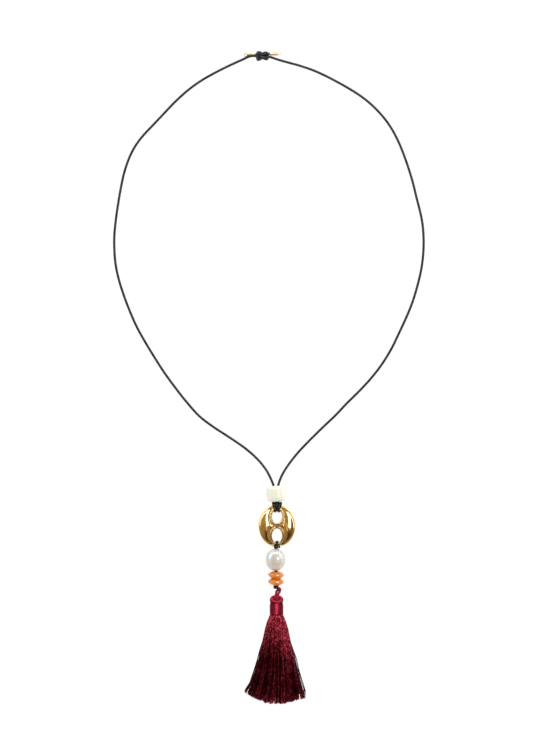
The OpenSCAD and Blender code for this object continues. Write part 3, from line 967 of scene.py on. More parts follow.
@dataclass
class Plan:
    """The sizes and places that the pieces share, in millimetres, worked out as in the solids."""

    fit: float = 0.1
    cord_r: float = 0.75
    thin_r: float = 0.45
    strand_x: float = -0.1
    strand_top: float = 1.3
    bead_d: float = 12.1
    bead_len: float = 9.5
    bead_edge_r: float = 2.6
    bead_bore_r: float = 2.35
    bead_turn: float = 3
    bead_top_y: float = -129.3
    link_x: float = 0.6
    link_w: float = 22.6
    link_len: float = 25.6
    link_puff: float = 3.4
    link_bar_w: float = 2.7
    link_mid_w: float = 3
    link_hole_w: float = 5.9
    pearl_d: float = 12
    pearl_len: float = 13.3
    pearl_side: float = -0.3
    saucer_d: float = 9.6
    saucer_t: float = 4
    saucer_turn: float = -2.5
    bore_r: float = 1.15
    eye_r: float = 1.35
    eye_turn: float = -54
    tassel_x: float = 0.3
    loop_r: float = 0.65
    loop_drop: float = 6.7
    top_len: float = 4.4
    binding_d: float = 8.2
    binding_len: float = 6.7
    neck_d: float = 6.8
    skirt_len: float = 54
    skirt_w: float = 37
    skirt_h: float = 4.6

    def __post_init__(self) -> None:
        """Works out the places down the hanging line, each from the one above it."""
        self.strand_low = self.cord_r + self.fit / 2
        self.bead_low_y = self.bead_top_y - self.bead_len
        self.bead_z = self.bead_d / 2
        lean = (self.bead_d / 2 - self.bead_edge_r) * math.sin(math.radians(self.bead_turn))
        self.cord_band_y = self.bead_low_y - lean - self.cord_r - self.fit
        self.link_y = self.cord_band_y - self.cord_r - self.fit - self.link_len / 2
        self.hole_y = self.link_len / 2 - self.link_bar_w
        self.hole_len = self.hole_y - self.link_mid_w / 2
        self.opening_y = (self.link_mid_w + self.hole_len) / 2
        self.lip_y = self.hole_y + 0.28 * self.link_bar_w
        self.lip_h = self.link_height(0, self.lip_y)
        self.link_z = max(self.link_puff, self.lip_h + 2 * self.cord_r + 3 * self.fit)
        self.drop_band_y = self.link_y - self.link_len / 2 - self.thin_r - self.fit
        self.pearl_y = self.drop_band_y - self.thin_r - self.fit - self.pearl_len / 2
        self.pearl_z = self.pearl_d / 2 + self.fit
        self.upper_s = self.pearl_len / 2 + self.saucer_t / 2 + self.fit
        self.lower_s = self.upper_s + self.saucer_t + self.fit
        self.drop_end_s = self.lower_s + self.saucer_t / 2
        self.drop_tilt = math.asin((self.pearl_z - self.saucer_d / 2 - self.fit) / self.lower_s)
        self.drop_run_x = self.thin_r + 0.05
        self.knot_r = self.drop_run_x + 1.6 * self.thin_r
        self.knot_s = self.drop_end_s + 3.6 * self.thin_r
        self.tassel_top_y = self.on_drop(0, self.drop_end_s).y / MM - self.loop_drop
        self.tassel_z = self.binding_d / 2
        self.binding_top_y = self.tassel_top_y - self.top_len
        self.skirt_top_y = self.binding_top_y - self.binding_len - self.fit
        self.eye = self.on_drop(self.eye_r, self.knot_s) - mm(0, self.eye_r - self.thin_r / 2, 0)

    def link_height(self, x: float, y: float) -> float:
        """The puffed body's half height beside the link's middle."""
        across, along = 2 * x / self.link_w, 2 * y / self.link_len
        return self.link_puff * math.sqrt(max(0, 1 - across**2 - along**2))

    def on_drop(self, x: float, s: float, h: float = 0) -> Vector:
        """A point down the drop's line, at the distance s from the pearl's middle."""
        fall, run = math.sin(self.drop_tilt), math.cos(self.drop_tilt)
        return mm(x, self.pearl_y - s * run - h * fall, self.pearl_z - s * fall + h * run)

    def drop_place(self, s: float, turn: float, side: float = 0) -> Matrix:
        """The place of a lathe whose axis runs up the drop's line.

        Args:
            s: How far down the line its foot is.
            turn: How far it is turned on the table, in degrees.
            side: How far it is shifted sideways.

        Returns:
            The place.
        """
        lean = Matrix.Rotation(self.drop_tilt, 4, "X")
        place = Matrix.Translation(self.on_drop(0, s)) @ lean @ turned("Z", turn) @ turned("X", 90)
        return place @ Matrix.Translation(mm(side, 0, 0))

    def hitch_half(
        self, r: float, side: int, way: int, run_x: float, run_z: float, band_y: float
    ) -> list[Vector]:
        """Half of a hitch on a bar of the link, as in the solids.

        It goes over the bar, down through the opening, back under the bar, up beside the run and to
        the middle of the band across both runs.

        Args:
            r: The cord's radius.
            side: 1 for the right run, -1 for the left one.
            way: 1 for the top bar, -1 for the bottom bar.
            run_x: Half the distance between the runs.
            run_z: The height of the runs at the band.
            band_y: Where the band crosses the runs.

        Returns:
            The points of the path.
        """
        over = self.lip_h + r + self.fit
        inner = 2 * (run_x + 0.7 * r) / self.link_hole_w
        back = self.hole_len / 2 * (1 - math.sqrt(1 - inner**2)) + self.fit / 2
        lip_y = self.lip_y - back
        beside_y = lip_y - 0.9 * (r + self.fit)
        hole_y = self.hole_y - back - r - self.fit
        rise_x = run_x + 2 * r + self.fit
        bar_y = self.link_len / 2 - self.link_bar_w / 2
        round_bar = (
            (run_x, bar_y, over),
            (run_x, lip_y, over),
            (run_x, beside_y, self.lip_h),
            (run_x, hole_y, 0.4 * r),
            (run_x, hole_y, -0.4 * r),
            (run_x + 0.1 * r, beside_y, -self.lip_h),
            (run_x + 0.4 * r, lip_y, -over),
            (rise_x - 0.3 * r, bar_y + r, -over + 0.2 * r),
        )
        round_runs = (
            (rise_x, self.link_z - 1.3 * r),
            (rise_x, run_z + r),
            (rise_x - 0.7 * r, run_z + 2 * r),
            (0.7 * run_x, run_z + 2 * r + self.fit),
            (0, run_z + 2 * r + self.fit),
        )
        return [
            *(mm(self.link_x + side * x, self.link_y + way * y, self.link_z + z) for x, y, z in round_bar),
            *(mm(self.link_x + side * x, band_y, z) for x, z in round_runs),
        ]


@dataclass
class NeckCord:
    """The round leather cord: both sides of the neck loop, the back knot and the hitch on the link."""

    plan: Plan
    leather: Material
    sides: int = 16
    steps: int = 6
    knot_middle: Point = (-8.1, 128.4, 2.28)
    tail: float = 3.3
    swell: dict[int, float] = field(default_factory=lambda: {5: 1.05, 6: 1.2, 7: 1.4, 8: 1.4, 9: 1.2})
    spread: dict[int, float] = field(default_factory=lambda: {6: 0.1, 7: 0.2, 8: 0.55, 9: 0.8, 10: 0.6})
    lift: float = 0.35
    lifted: tuple[int, int] = (7, 8)
    band_rise: float = 0.05
    knot_swell: float = 0.42
    knot_reach: float = 2.3

    def _knot_path(self, rows: Sequence[Point]) -> list[Vector]:
        """An end's path in the back knot."""
        return [mm(*self.knot_middle) + 2 * self.plan.cord_r * MM * Vector(row) for row in rows]

    def cap_mouth(self, side: Side) -> Vector:
        """Where an end of the cord goes into its cap."""
        return self._knot_path(LEFT_KNOT if side is Side.LEFT else RIGHT_KNOT)[-1]

    def lay(self, side: Side) -> Piece:
        """Args:
            side: Which side it is.

        Returns:
            The piece.
        """
        plan = self.plan
        rows, knot = (LEFT_ROUTE, LEFT_KNOT) if side is Side.LEFT else (RIGHT_ROUTE, RIGHT_KNOT)
        lying = [mm(x, y, plan.cord_r + rise * (plan.bead_z - plan.cord_r)) for x, y, rise in rows]
        start = mm(plan.strand_x + side.value * plan.strand_top, plan.bead_top_y, plan.bead_z)
        path = smoothed([start, *reversed(lying), self._knot_path(knot)[0]], self.steps)
        maker = Maker(f"{side.name.lower()}_side_of_neck_cord")
        maker.sweep(path, plan.cord_r * MM, self.sides)
        piece = seat(maker.done(self.leather), "neck_leather", f"cord_{side.name.lower()}")
        tuple(path[0])
        path_length(path)
        [tuple(point) for point in path]
        return piece

    def back_knot(self) -> Piece:
        """Ties both ends in a reef knot, pulled tight in its middle, each with its tail in an end cap.

        Returns:
            The piece.
        """
        maker = Maker("back_knot_of_neck_cord")
        for rows, way in ((LEFT_KNOT, -1), (RIGHT_KNOT, 1)):
            path = self._knot_path(rows)
            tail = [path[-1] + mm(way * self.tail * share, 0, 0) for share in (0.5, 1)]
            line = smoothed([*path, *tail], self.steps)
            offs = [(point.x / MM - self.knot_middle[0]) / self.knot_reach for point in line]
            radii = [self.plan.cord_r * MM * (1 + self.knot_swell * math.exp(-(off**2))) for off in offs]
            maker.sweep(line, radii, self.sides)
        return seat(maker.done(self.leather), "neck_leather", "back_knot")

    def hitch(self, leather: Material) -> Piece:
        """Takes the cord through the bead, round the link's top bar and back.

        Args:
            leather: What it is made of.

        Returns:
            The piece.
        """
        plan = self.plan
        run_z = plan.bead_z + self.band_rise
        halves = []
        for way in (-1, 1):
            top_x, low_x = plan.strand_x + way * plan.strand_top, plan.link_x + way * plan.strand_low
            half = [
                mm(top_x, plan.bead_top_y, plan.bead_z),
                mm(top_x, plan.bead_top_y - 0.2 * plan.bead_len, plan.bead_z),
                mm(low_x, plan.bead_low_y + 0.2 * plan.bead_len, plan.bead_z),
                mm(low_x, plan.cord_band_y, run_z),
                *plan.hitch_half(plan.cord_r, way, 1, plan.strand_low, run_z, plan.cord_band_y),
            ]
            for index, reach in self.spread.items():
                half[index] += mm(way * reach, self.lift if index in self.lifted else 0, 0)
            halves.append(half)
        maker = Maker("hitch_of_neck_cord")
        path = smoothed([*halves[0], *halves[1][-2::-1]], self.steps)
        swells = [self.swell.get(index, 1) for index in range(len(halves[0]))]
        swells = [*swells, *swells[-2::-1]]
        r = plan.cord_r * MM
        radii = []
        for low, high in zip(swells, swells[1:]):
            radii += [r * (low + (high - low) * step / self.steps) for step in range(self.steps)]
        maker.sweep(path, [*radii, r], self.sides, side=Vector((1, 0, 0)))
        return seat(maker.done(leather), "neck_leather", "cord_hitch")


@dataclass
class EndCaps:
    """The gilt caps on the cord's two ends: a tube with a rolled mouth, a domed end and a small ring."""

    tube_r: float = 1.1
    length: float = 4.9
    bore_r: float = 0.85
    depth: float = 3.5
    round_r: float = 0.3
    ring_r: float = 0.85
    wire_r: float = 0.25

    def make(self, side: Side, mouth: Vector, ring_turn: float, gilt: Material) -> Piece:
        """Makes one cap.

        Args:
            side: Which end of the cord it closes.
            mouth: Where its mouth is.
            ring_turn: How far its ring is turned from lying flat.
            gilt: Its material.

        Returns:
            The piece.
        """
        name = f"end_cap_{side.name.lower()}"
        low, high = self.bore_r, self.tube_r
        rim = (high - low) / 2
        profile = [
            (0, self.depth),
            (low, self.depth),
            *arc((low + high) / 2, rim - 0.1, rim, 180, 360, 8),
            *arc(high - self.round_r, self.length - self.round_r, self.round_r, 0, 90, 6),
            (0, self.length),
        ]
        maker = Maker(f"gilt_{name}")
        lathe = Matrix.Translation(mouth) @ turned("Y", 90 * side.value)
        maker.turn(profile, lathe, 40)
        ring_x = self.length + self.ring_r - self.wire_r / 2
        place = Matrix.Translation(mouth + mm(side.value * ring_x, 0, 0)) @ turned("X", ring_turn)
        maker.turn(arc(self.ring_r, 0, self.wire_r, 0, 330, 11), place, 36)
        return seat(maker.done(gilt), "gilt_cap", name)


@dataclass
class BoneBead:
    """The drum-shaped bone bead, with rounded edges and a bore for two runs of the cord."""

    plan: Plan
    bore_edge: float = 0.3

    def make(self, bone: Material) -> Piece:
        """Turns the bead.

        Args:
            bone: What it is made of.

        Returns:
            The piece.
        """
        plan = self.plan
        half = plan.bead_len / 2
        flat_r, edge_r = plan.bead_d / 2 - plan.bead_edge_r, plan.bead_edge_r
        bore_r = plan.bead_bore_r + self.bore_edge
        profile = [
            *arc(bore_r, half - self.bore_edge, self.bore_edge, 180, 90, 4),
            *arc(flat_r, half - edge_r, edge_r, 90, 0, 12),
            *arc(flat_r, edge_r - half, edge_r, 0, -90, 12),
            *arc(bore_r, self.bore_edge - half, self.bore_edge, 270, 180, 4),
        ]
        maker = Maker("bone_drum_bead")
        middle = Matrix.Translation(mm(0, plan.bead_top_y - half, plan.bead_z))
        maker.turn(profile, middle @ turned("Z", plan.bead_turn) @ turned("X", 90), 96)
        return seat(maker.done(bone), "bone", "bone_bead")


@dataclass
class PuffedLink:
    """The gilt link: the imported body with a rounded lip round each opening, cast in one skin."""

    plan: Plan
    lip_side: float = 0.74
    lip_bar: float = 0.65
    lip_middle: float = 0.66
    lip_sink: float = 0.95
    voxel: float = 0.15
    soften: int = 5
    steps: int = 72
    fullness: float = 2.7
    full_from: float = 0.86
    dip: float = 0.13
    dip_reach: float = 1.8
    rim: tuple[float, float] = (0.97, 0.985)
    clear: tuple[float, float] = (2.8, 3.8)
    ease: float = 3
    long_edge: float = 0.6
    merge: float = 0.001
    # How far the painted shade on the lips reaches round the openings, and how softly it fades.
    lip_shade_reach: float = 2.3
    lip_shade_fade: float = 0.4

    def _off_middle(self, point: Vector) -> tuple[float, float]:
        """How far a point lies from the link's middle, across and along, in millimetres."""
        return abs(point.x / MM - self.plan.link_x), abs(point.y / MM - self.plan.link_y)

    def _lip(self, maker: Maker, way: int, face: int) -> None:
        """Lays one lip round an opening, on one face of the link.

        Args:
            maker: The link in the making.
            way: 1 for the upper opening, -1 for the lower one.
            face: 1 for the face that is seen, -1 for the one on the table's side.
        """
        plan = self.plan
        path, radii = [], []
        for step in range(self.steps + 1):
            angle = TURN * step / self.steps
            outer = max(0, way * math.sin(angle))
            inner = max(0, -way * math.sin(angle))
            reach = self.lip_side + (self.lip_bar - self.lip_side) * outer**2
            reach += (self.lip_middle - self.lip_side) * inner**2
            x = (plan.link_hole_w / 2 + reach) * math.cos(angle)
            y = way * plan.opening_y + (plan.hole_len / 2 + reach) * math.sin(angle)
            z = plan.link_height(x, y) - self.lip_sink * reach
            path.append(mm(plan.link_x + x, plan.link_y + y, plan.link_z + face * z))
            radii.append(reach * MM)
        maker.sweep(path, radii, 16)

    def _puff(self, maker: Maker) -> None:
        """Lets the body swell to its rim and fall beside the openings, clear of the cords on the bars.

        Args:
            maker: The link in the making.
        """
        plan = self.plan
        full_at, rim = self.rim
        for vert in maker.bm.verts:
            x, y = self._off_middle(vert.co)
            height = vert.co.z - plan.link_z * MM
            out = min(rim, math.hypot(2 * x / plan.link_w, 2 * y / plan.link_len))
            full = (1 - out**self.fullness) ** (1 / self.fullness) / math.sqrt(1 - out**2)
            share = eased((x - self.clear[0 if height > 0 else 1]) / self.ease)
            share *= eased((out - self.full_from) / (full_at - self.full_from))
            opening = math.hypot(2 * x / plan.link_hole_w, 2 * (y - plan.opening_y) / plan.hole_len)
            beside = max(0, 1 - 1 / max(opening, 0.1)) * math.hypot(x, y - plan.opening_y)
            sunk = self.dip * math.exp(-((beside / self.dip_reach) ** 2))
            vert.co.z += height * ((full - 1) * share - sunk)

    def _lip_share(self, point: Vector) -> float:
        """How far a point lies on a lip, from 0 on the body to 1 on the lip, for the lips' painted shade.

        Args:
            point: The point, in metres.

        Returns:
            The share.
        """
        plan = self.plan
        x, y = self._off_middle(point)
        half_x, half_y = plan.link_hole_w / 2, plan.hole_len / 2
        off = math.hypot(x, (y - plan.opening_y) * (half_x + self.lip_side) / (half_y + self.lip_side))
        return eased((half_x + self.lip_shade_reach * self.lip_side - off) / self.lip_shade_fade)

    def make(self, gilt: Material) -> Piece:
        """Joins body and lips, and remeshes them into one smooth skin.

        Args:
            gilt: What it is made of.

        Returns:
            The piece.
        """
        maker = Maker("gilt_puffed_link")
        maker.bm.from_mesh(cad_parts["puffed_link"].data)
        bmesh.ops.remove_doubles(maker.bm, verts=maker.bm.verts[:], dist=self.merge * MM)
        bmesh.ops.triangulate(maker.bm, faces=maker.bm.faces[:])
        for _ in range(3):
            long = [edge for edge in maker.bm.edges if edge.calc_length() > self.long_edge * MM]
            bmesh.ops.subdivide_edges(maker.bm, edges=long, cuts=1, use_grid_fill=False)
            bmesh.ops.triangulate(maker.bm, faces=maker.bm.faces[:])
        self._puff(maker)
        for way in (-1, 1):
            for face in (-1, 1):
                self._lip(maker, way, face)
        piece = maker.done(gilt)
        remesh = piece.modifiers.new("skin", "REMESH")
        remesh.mode = "VOXEL"
        remesh.voxel_size = self.voxel * MM
        soften = piece.modifiers.new("soften", "SMOOTH")
        soften.factor = 0.5
        soften.iterations = self.soften
        skin = final_mesh(piece)
        # Marks the lips, which the gilt browns as painted shade.
        lip_shade = [self._lip_share(vert.co) for vert in skin.vertices]
        skin.attributes.new("lip", "FLOAT", "POINT").data.foreach_set("value", lip_shade)
        return seat(placed("gilt_puffed_link", skin, gilt), "gilt_link", "puffed_link")


@dataclass
class Drop:
    """What hangs from the link: the thin cord, the pearl and the two saucer beads."""

    plan: Plan
    sides: int = 12
    steps: int = 5
    band_lift: float = 0.85
    band_rise: tuple[float, ...] = (0.4, 0.8, 1, 1, 1)
    pinch: float = 0.2
    wraps: float = 3.4
    wrap_steps: int = 80
    core_sides: int = 20
    pearl_rise: float = 0.45
    saucer_flat_r: float = 2.7
    saucer_rim_r: float = 1.25

    def cord(self, leather: Material) -> Piece:
        """Hitches the thin cord on the bottom bar, runs it down twice, knots it and ends it in an eye.

        Args:
            leather: What it is made of.

        Returns:
            The piece.
        """
        plan = self.plan
        r = plan.thin_r
        top_s = -plan.pearl_len / 2
        run_z = plan.on_drop(0, top_s).z / MM - 0.2
        halves = [
            [
                plan.on_drop(way * plan.drop_run_x, top_s + 0.6),
                mm(plan.link_x / 2 + way * plan.drop_run_x, plan.drop_band_y, run_z),
                *plan.hitch_half(r, way, -1, plan.drop_run_x, run_z, plan.drop_band_y),
            ]
            for way in (-1, 1)
        ]
        for way, half in zip((-1, 1), halves):
            for point in half[2:6]:
                point.x -= way * self.pinch * MM
            for point, share in zip(half[-len(self.band_rise):], self.band_rise):
                point.y += share * self.band_lift * MM
        foot = [plan.on_drop(way * plan.drop_run_x, plan.knot_s - 2 * r) for way in (-1, 1)]
        hitch = smoothed([*halves[0], *halves[1][-2::-1]], self.steps)
        maker = Maker("thin_cord_of_drop")
        maker.sweep([foot[0], *hitch, foot[1]], r * MM, self.sides, side=Vector((1, 0, 0)))
        wrap_s = plan.drop_end_s + r + plan.fit
        rise = (plan.knot_s + 0.5 * r - wrap_s) / self.wraps
        knot = []
        for step in range(self.wrap_steps + 1):
            turn = self.wraps * step / self.wrap_steps
            across, up = plan.knot_r * math.cos(TURN * turn), plan.knot_r * math.sin(TURN * turn)
            knot.append(plan.on_drop(across, wrap_s + rise * turn, up))
        maker.sweep(knot, r * MM, self.sides)
        core = [plan.on_drop(0, s) for s in (plan.drop_end_s + plan.fit, plan.knot_s)]
        maker.sweep(core, plan.knot_r * MM, self.core_sides)
        eye = Matrix.Translation(plan.eye) @ turned("Z", plan.eye_turn) @ turned("X", 90)
        maker.turn(arc(plan.eye_r, 0, r, 0, 330, 11), eye, 32)
        return seat(maker.done(leather), "thin_leather", "drop_cord")

    def pearl(self, nacre: Material) -> Piece:
        """Turns the pearl, a little longer than it is wide.

        Args:
            nacre: What it is made of.

        Returns:
            The piece.
        """
        plan = self.plan
        radius, bore = plan.pearl_d / 2, plan.bore_r
        shift = (plan.pearl_len - plan.pearl_d) / 2
        edge = math.degrees(math.acos(bore / radius))
        profile = [*arc(0, shift, radius, edge, 0, 24), *arc(0, -shift, radius, 0, -edge, 24)]
        maker = Maker("drilled_pearl")
        maker.turn(profile, plan.drop_place(-self.pearl_rise, 0, plan.pearl_side), 96)
        return seat(maker.done(nacre), "pearl", "pearl")

    def saucer(self, where: str, s: float, stone: Material) -> Piece:
        """Turns a saucer bead: two shallow arcs that run into a round rim.

        Args:
            where: Its place in the pair, upper or lower.
            s: Its distance down the drop's line.
            stone: Its material.

        Returns:
            The piece.
        """
        plan = self.plan
        half, flat, rim_r = plan.saucer_t / 2, self.saucer_flat_r, self.saucer_rim_r
        rim_x = plan.saucer_d / 2 - rim_r
        slope = half**2 - rim_r**2
        gap = rim_x**2 + half**2 - flat**2 - rim_r**2
        root = math.sqrt((rim_r * gap) ** 2 + slope * (gap**2 + 4 * (half * flat) ** 2))
        face_r = (rim_r * gap + root) / (2 * slope)
        face_y = math.sqrt(face_r**2 - flat**2) - half
        start = math.degrees(math.atan2(half + face_y, flat))
        meet = math.degrees(math.atan2(face_y, rim_x))
        profile = [
            (plan.bore_r, half),
            *arc(0, -face_y, face_r, start, meet, 8),
            *arc(rim_x, 0, rim_r, meet, -meet, 14)[1:-1],
            *arc(0, face_y, face_r, -meet, -start, 8),
            (plan.bore_r, -half),
        ]
        maker = Maker(f"{where}_stone_saucer")
        maker.turn(profile, plan.drop_place(s, plan.saucer_turn), 80)
        return seat(maker.done(stone), "orange_stone", f"saucer_bead_{where}")


@dataclass(frozen=True)
class Layer:
    """A layer of the skirt: its threads, and how far out they lie as shares of the half width."""

    name: str
    count: int
    depth: tuple[float, float]
    points: int


@dataclass
class Tassel:
    """The silk tassel: its hanging loop, folded head, wound binding and skirt of threads."""

    plan: Plan
    seed: int = 11
    ply_r: float = 0.42
    ply_reach: float = 0.36
    ply_pitch: float = 3
    lean: float = 32
    head_ring_r: float = 2.85
    head_lip_r: float = 1.05
    head_threads: int = 150
    head_bends: tuple[float, ...] = (-150, -115, -80, -45, -15, 15, 45, 75, 105)
    # Tone along each head thread, bend by bend: painted shade in the ring's hole, a painted highlight on its
    # top and painted shade under its front, down to the binding.
    head_light_and_shade: tuple[float, ...] = (0, 0, 0.05, 0.4, 1, 1, 0.75, 0.2, 0.05, 0.05, 0.05)
    dip: float = 0.45
    dip_at: float = 295
    dip_half: float = 38
    # Painted shade: the tone of the dark core in the head's ring and neck.
    core_shade_tone: float = 0.1
    binding_turns: int = 22
    binding_steps: int = 48
    binding_round: float = 0.15
    outer: Layer = Layer("outer_threads_of_tassel", 1500, (0.86, 1.0), 13)
    inner: Layer = Layer("inner_threads_of_tassel", 1300, (0.6, 0.92), 10)
    locks: int = 64
    lock_spread: float = 0.35
    lock_reach: tuple[float, float] = (-0.018, 0.012)
    gather: float = 0.75
    thread_r: float = 0.17
    thread_tip: float = 0.6
    cut_short: tuple[float, float] = (-0.03, -0.006)
    cut_most: float = 0.05
    sway: tuple[float, float] = (0.08, 0.3)
    tone: float = 0.03
    tone_by_lock: float = 0.2
    tone_spread: float = 0.4
    strays: int = 28
    stray_points: int = 14
    stray_r: float = 0.55
    stray_tip: float = 0.5
    stray_inward: tuple[float, float] = (-0.3, 1.2)
    stray_leave: tuple[float, float] = (0.1, 0.7)
    stray_reach: float = 0.8
    core_len: float = 0.88
    core_steps: int = 16
    hem_rise: tuple[float, float] = (0.13, 0.07)
    trim: tuple[float, float] = (-0.02, 0.1)
    tuft: tuple[float, float] = (-0.075, 0.02)
    tuft_from: tuple[float, float] = (0.94, 0.87)
    tuft_by_lock: float = 0.025
    thin_edge: float = 0.075

    def loop(self, silk: Material) -> Piece:
        """Lays the hanging loop, three plies twisted, through the eye and into the head.

        Args:
            silk: What it is made of.

        Returns:
            The piece.
        """
        plan = self.plan
        side = plan.loop_r + 0.1
        x, z, top = plan.tassel_x, plan.tassel_z, plan.tassel_top_y
        foot_y = top - 0.8 * plan.top_len
        path = [
            mm(x - side, foot_y, z),
            mm(x - 0.7 * side, top, z),
            mm(x - 0.3 * side, top + 0.25 * plan.loop_drop, z + 0.1),
            plan.eye - mm(1.1, 1.2, 0.2),
            plan.eye,
            plan.eye + mm(0.7, 0.7, 0.2),
            plan.eye + mm(1.2, 0.1, 0.6),
            plan.eye + mm(0.9, -1.2, 1.1),
            mm(x + 1.8 * side, top + 0.3 * plan.loop_drop, z + 0.5),
            mm(x + 1.3 * side, top + 0.1 * plan.loop_drop, z + 0.2),
            mm(x + side, top, z),
            mm(x + side, foot_y, z),
        ]
        maker = Maker("hanging_loop_of_tassel")
        middle = smoothed(path, 10)
        for ply in range(3):
            strand = twisted(middle, self.ply_reach * MM, self.ply_pitch * MM, ply / 3)
            maker.sweep(strand, self.ply_r * MM, 8, 0.7)
        return seat(maker.done(silk), "silk_cord", "tassel_loop")

    def _up_from(self, y: float) -> Matrix:
        """The place of a lathe whose axis runs up the tassel's middle from a height y."""
        return Matrix.Translation(mm(self.plan.tassel_x, y, self.plan.tassel_z)) @ turned("X", -90)

    def head(self, silk: Material) -> Piece:
        """Folds the threads over a tilted ring, so that the head opens round the loop.

        Args:
            silk: What it is made of.

        Returns:
            The piece with the threads.
        """
        plan = self.plan
        draw = random.Random(self.seed)
        middle = mm(plan.tassel_x, plan.tassel_top_y - plan.top_len / 2 + 0.05, plan.tassel_z)
        ring = Matrix.Translation(middle) @ turned("X", self.lean - 90)
        big, lip = self.head_ring_r, self.head_lip_r
        core = Maker("core_of_tassel_head")
        # The dark core shows in the ring's hole and round the neck as painted shade.
        core.turn(arc(big, 0, lip - 0.5, 0, 330, 11), ring, 48, self.core_shade_tone)
        neck = plan.neck_d / 2
        top = plan.binding_top_y - plan.skirt_top_y + 1.6
        profile = [(0, 0), (neck, 0), (neck, top - 1), (2.2, top), (0, top)]
        core.turn(profile, self._up_from(plan.skirt_top_y), 40, self.core_shade_tone)
        threads = Bundle("threads_of_tassel_head", self.thread_r * MM)
        for index in range(self.head_threads):
            angle = TURN * (index + draw.uniform(-0.4, 0.4)) / self.head_threads
            out = Vector((math.cos(angle), math.sin(angle), 0))
            dip = self.dip * math.exp(-(((math.degrees(angle) - self.dip_at) / self.dip_half) ** 2))
            swell = lip + draw.uniform(-0.12, 0.1)
            path = []
            for bend in map(math.radians, self.head_bends):
                reach = big + swell * math.sin(bend)
                height = swell * math.cos(bend) - dip
                path.append(ring @ (MM * (out * reach + Vector((0, 0, height)))))
            x, z = plan.tassel_x + neck * out.x, plan.tassel_z - neck * out.y
            foot = mm(x, plan.binding_top_y - 0.3, z)
            path += [path[-1].lerp(foot, 0.5), foot]
            tone = draw.uniform(-0.15, 0.15)
            # The tones along the thread paint its light and shade.
            threads.thread(path, [tone + level for level in self.head_light_and_shade])
        seat(core.done(silk), "silk", "tassel_fringe")
        return seat(threads.done(silk), "silk")

    def binding(self, silk: Material) -> Piece:
        """Winds the binding round the neck, turn by turn, over a thin sleeve.

        Args:
            silk: What it is made of.

        Returns:
            The piece.
        """
        plan = self.plan
        r = plan.binding_len / self.binding_turns / 2
        reach = plan.binding_d / 2 - r
        inner = plan.neck_d / 2 + plan.fit
        low, high = 0.1, plan.binding_len - 0.1
        maker = Maker("wound_binding_of_tassel")
        sleeve = self._up_from(plan.binding_top_y - plan.binding_len)
        maker.turn([(inner, low), (reach, low), (reach, high), (inner, high)], sleeve, 64, 0.3)
        wound = []
        for step in range((self.binding_turns - 1) * self.binding_steps + 1):
            turn = step / self.binding_steps
            up = r + 2 * r * turn
            ease = reach - self.binding_round * (abs(2 * up / plan.binding_len - 1)) ** 6
            wound.append(sleeve @ mm(ease * math.cos(TURN * turn), ease * math.sin(TURN * turn), up))
        maker.sweep(wound, r * 1.08 * MM, 6, 0.75)
        return seat(maker.done(silk), "silk", "tassel_binding")

    def _section(self, share: float) -> tuple[float, float, float, float]:
        """The skirt at a share of its length: half width, half height, middle and lift.

        Args:
            share: The share.

        Returns:
            The four measures, in millimetres.
        """
        plan = self.plan
        rows = SKIRT_SECTIONS
        index = next((i for i, row in enumerate(rows[1:]) if share <= row[0]), len(rows) - 2)
        low, high = rows[index], rows[index + 1]
        t = (share - low[0]) / (high[0] - low[0])
        _, width, keep, shift = (a + (b - a) * t for a, b in zip(low, high))
        half_h = plan.skirt_h / 2 + keep * (plan.neck_d - plan.skirt_h) / 2
        sink = min(1, max(0, share) / 0.2)
        lift = (1 - sink) * plan.tassel_z + sink * half_h
        return width * plan.skirt_w / 2, half_h, plan.tassel_x + shift * plan.skirt_w, lift

    def _down(self, share: float) -> float:
        """The y of a share of the skirt's length."""
        return self.plan.skirt_top_y - share * self.plan.skirt_len

    def _hem(self, side: float) -> float:
        """How much of its length the skirt keeps at a side, from -1 at its left to 1 at its right."""
        return 1 - self.hem_rise[0 if side < 0 else 1] * abs(side) ** 1.7

    def _thinned(self, share: float) -> float:
        """How much of its half width the skirt leaves to single threads, at a share of its length."""
        return self.thin_edge * eased(share / 0.7) * eased((1.02 - share) / 0.2)

    @staticmethod
    def _painted_light_and_hem(share: float, side: float) -> float:
        """How much lighter the skirt is painted at a share of its length and at a side: a painted highlight
        at its top and on its right side, and lighter at its hem.

        Args:
            share: The share.
            side: The side, from -1 at the left to 1 at the right.

        Returns:
            What is added to a thread's tone.
        """
        top = 1.3 * math.exp(-((share / 0.28) ** 2))
        hem = 0.38 * eased((share - 0.88) / 0.12)
        right = 0.55 * eased(1.5 * side) * math.exp(-(((share - 0.35) / 0.25) ** 2))
        return top + hem + right

    def _core(self, silk: Material) -> Piece:
        """Fills the skirt's middle with nearly black silk, a painted shade that shows between the threads.

        Args:
            silk: What it is made of.

        Returns:
            The piece.
        """
        shapes = []
        for share in [self.core_len * step / self.core_steps for step in range(self.core_steps + 1)]:
            half_w, half_h, x, lift = self._section(share)
            size = Matrix.Diagonal((0.85 * half_w * MM, 0.8 * half_h * MM, 0.001, 1))
            shapes.append(Matrix.Translation(mm(x, self._down(share), lift)) @ turned("X", 90) @ size)
        maker = Maker("core_of_tassel_skirt")
        # Tone 0 makes the core nearly black, as painted shade.
        maker.loft(shapes, 32, 0.0)
        return seat(maker.done(silk), "silk")

    def skirt(self, silk: Material) -> None:
        """Hangs the skirt's threads in locks, over a dark core that paints the shade between them.

        Args:
            silk: What it is made of.
        """
        self._core(silk)
        draw = random.Random(self.seed)
        for layer in (self.outer, self.inner):
            self._hang(layer, silk, draw)
        self._hang_strays(silk, draw)

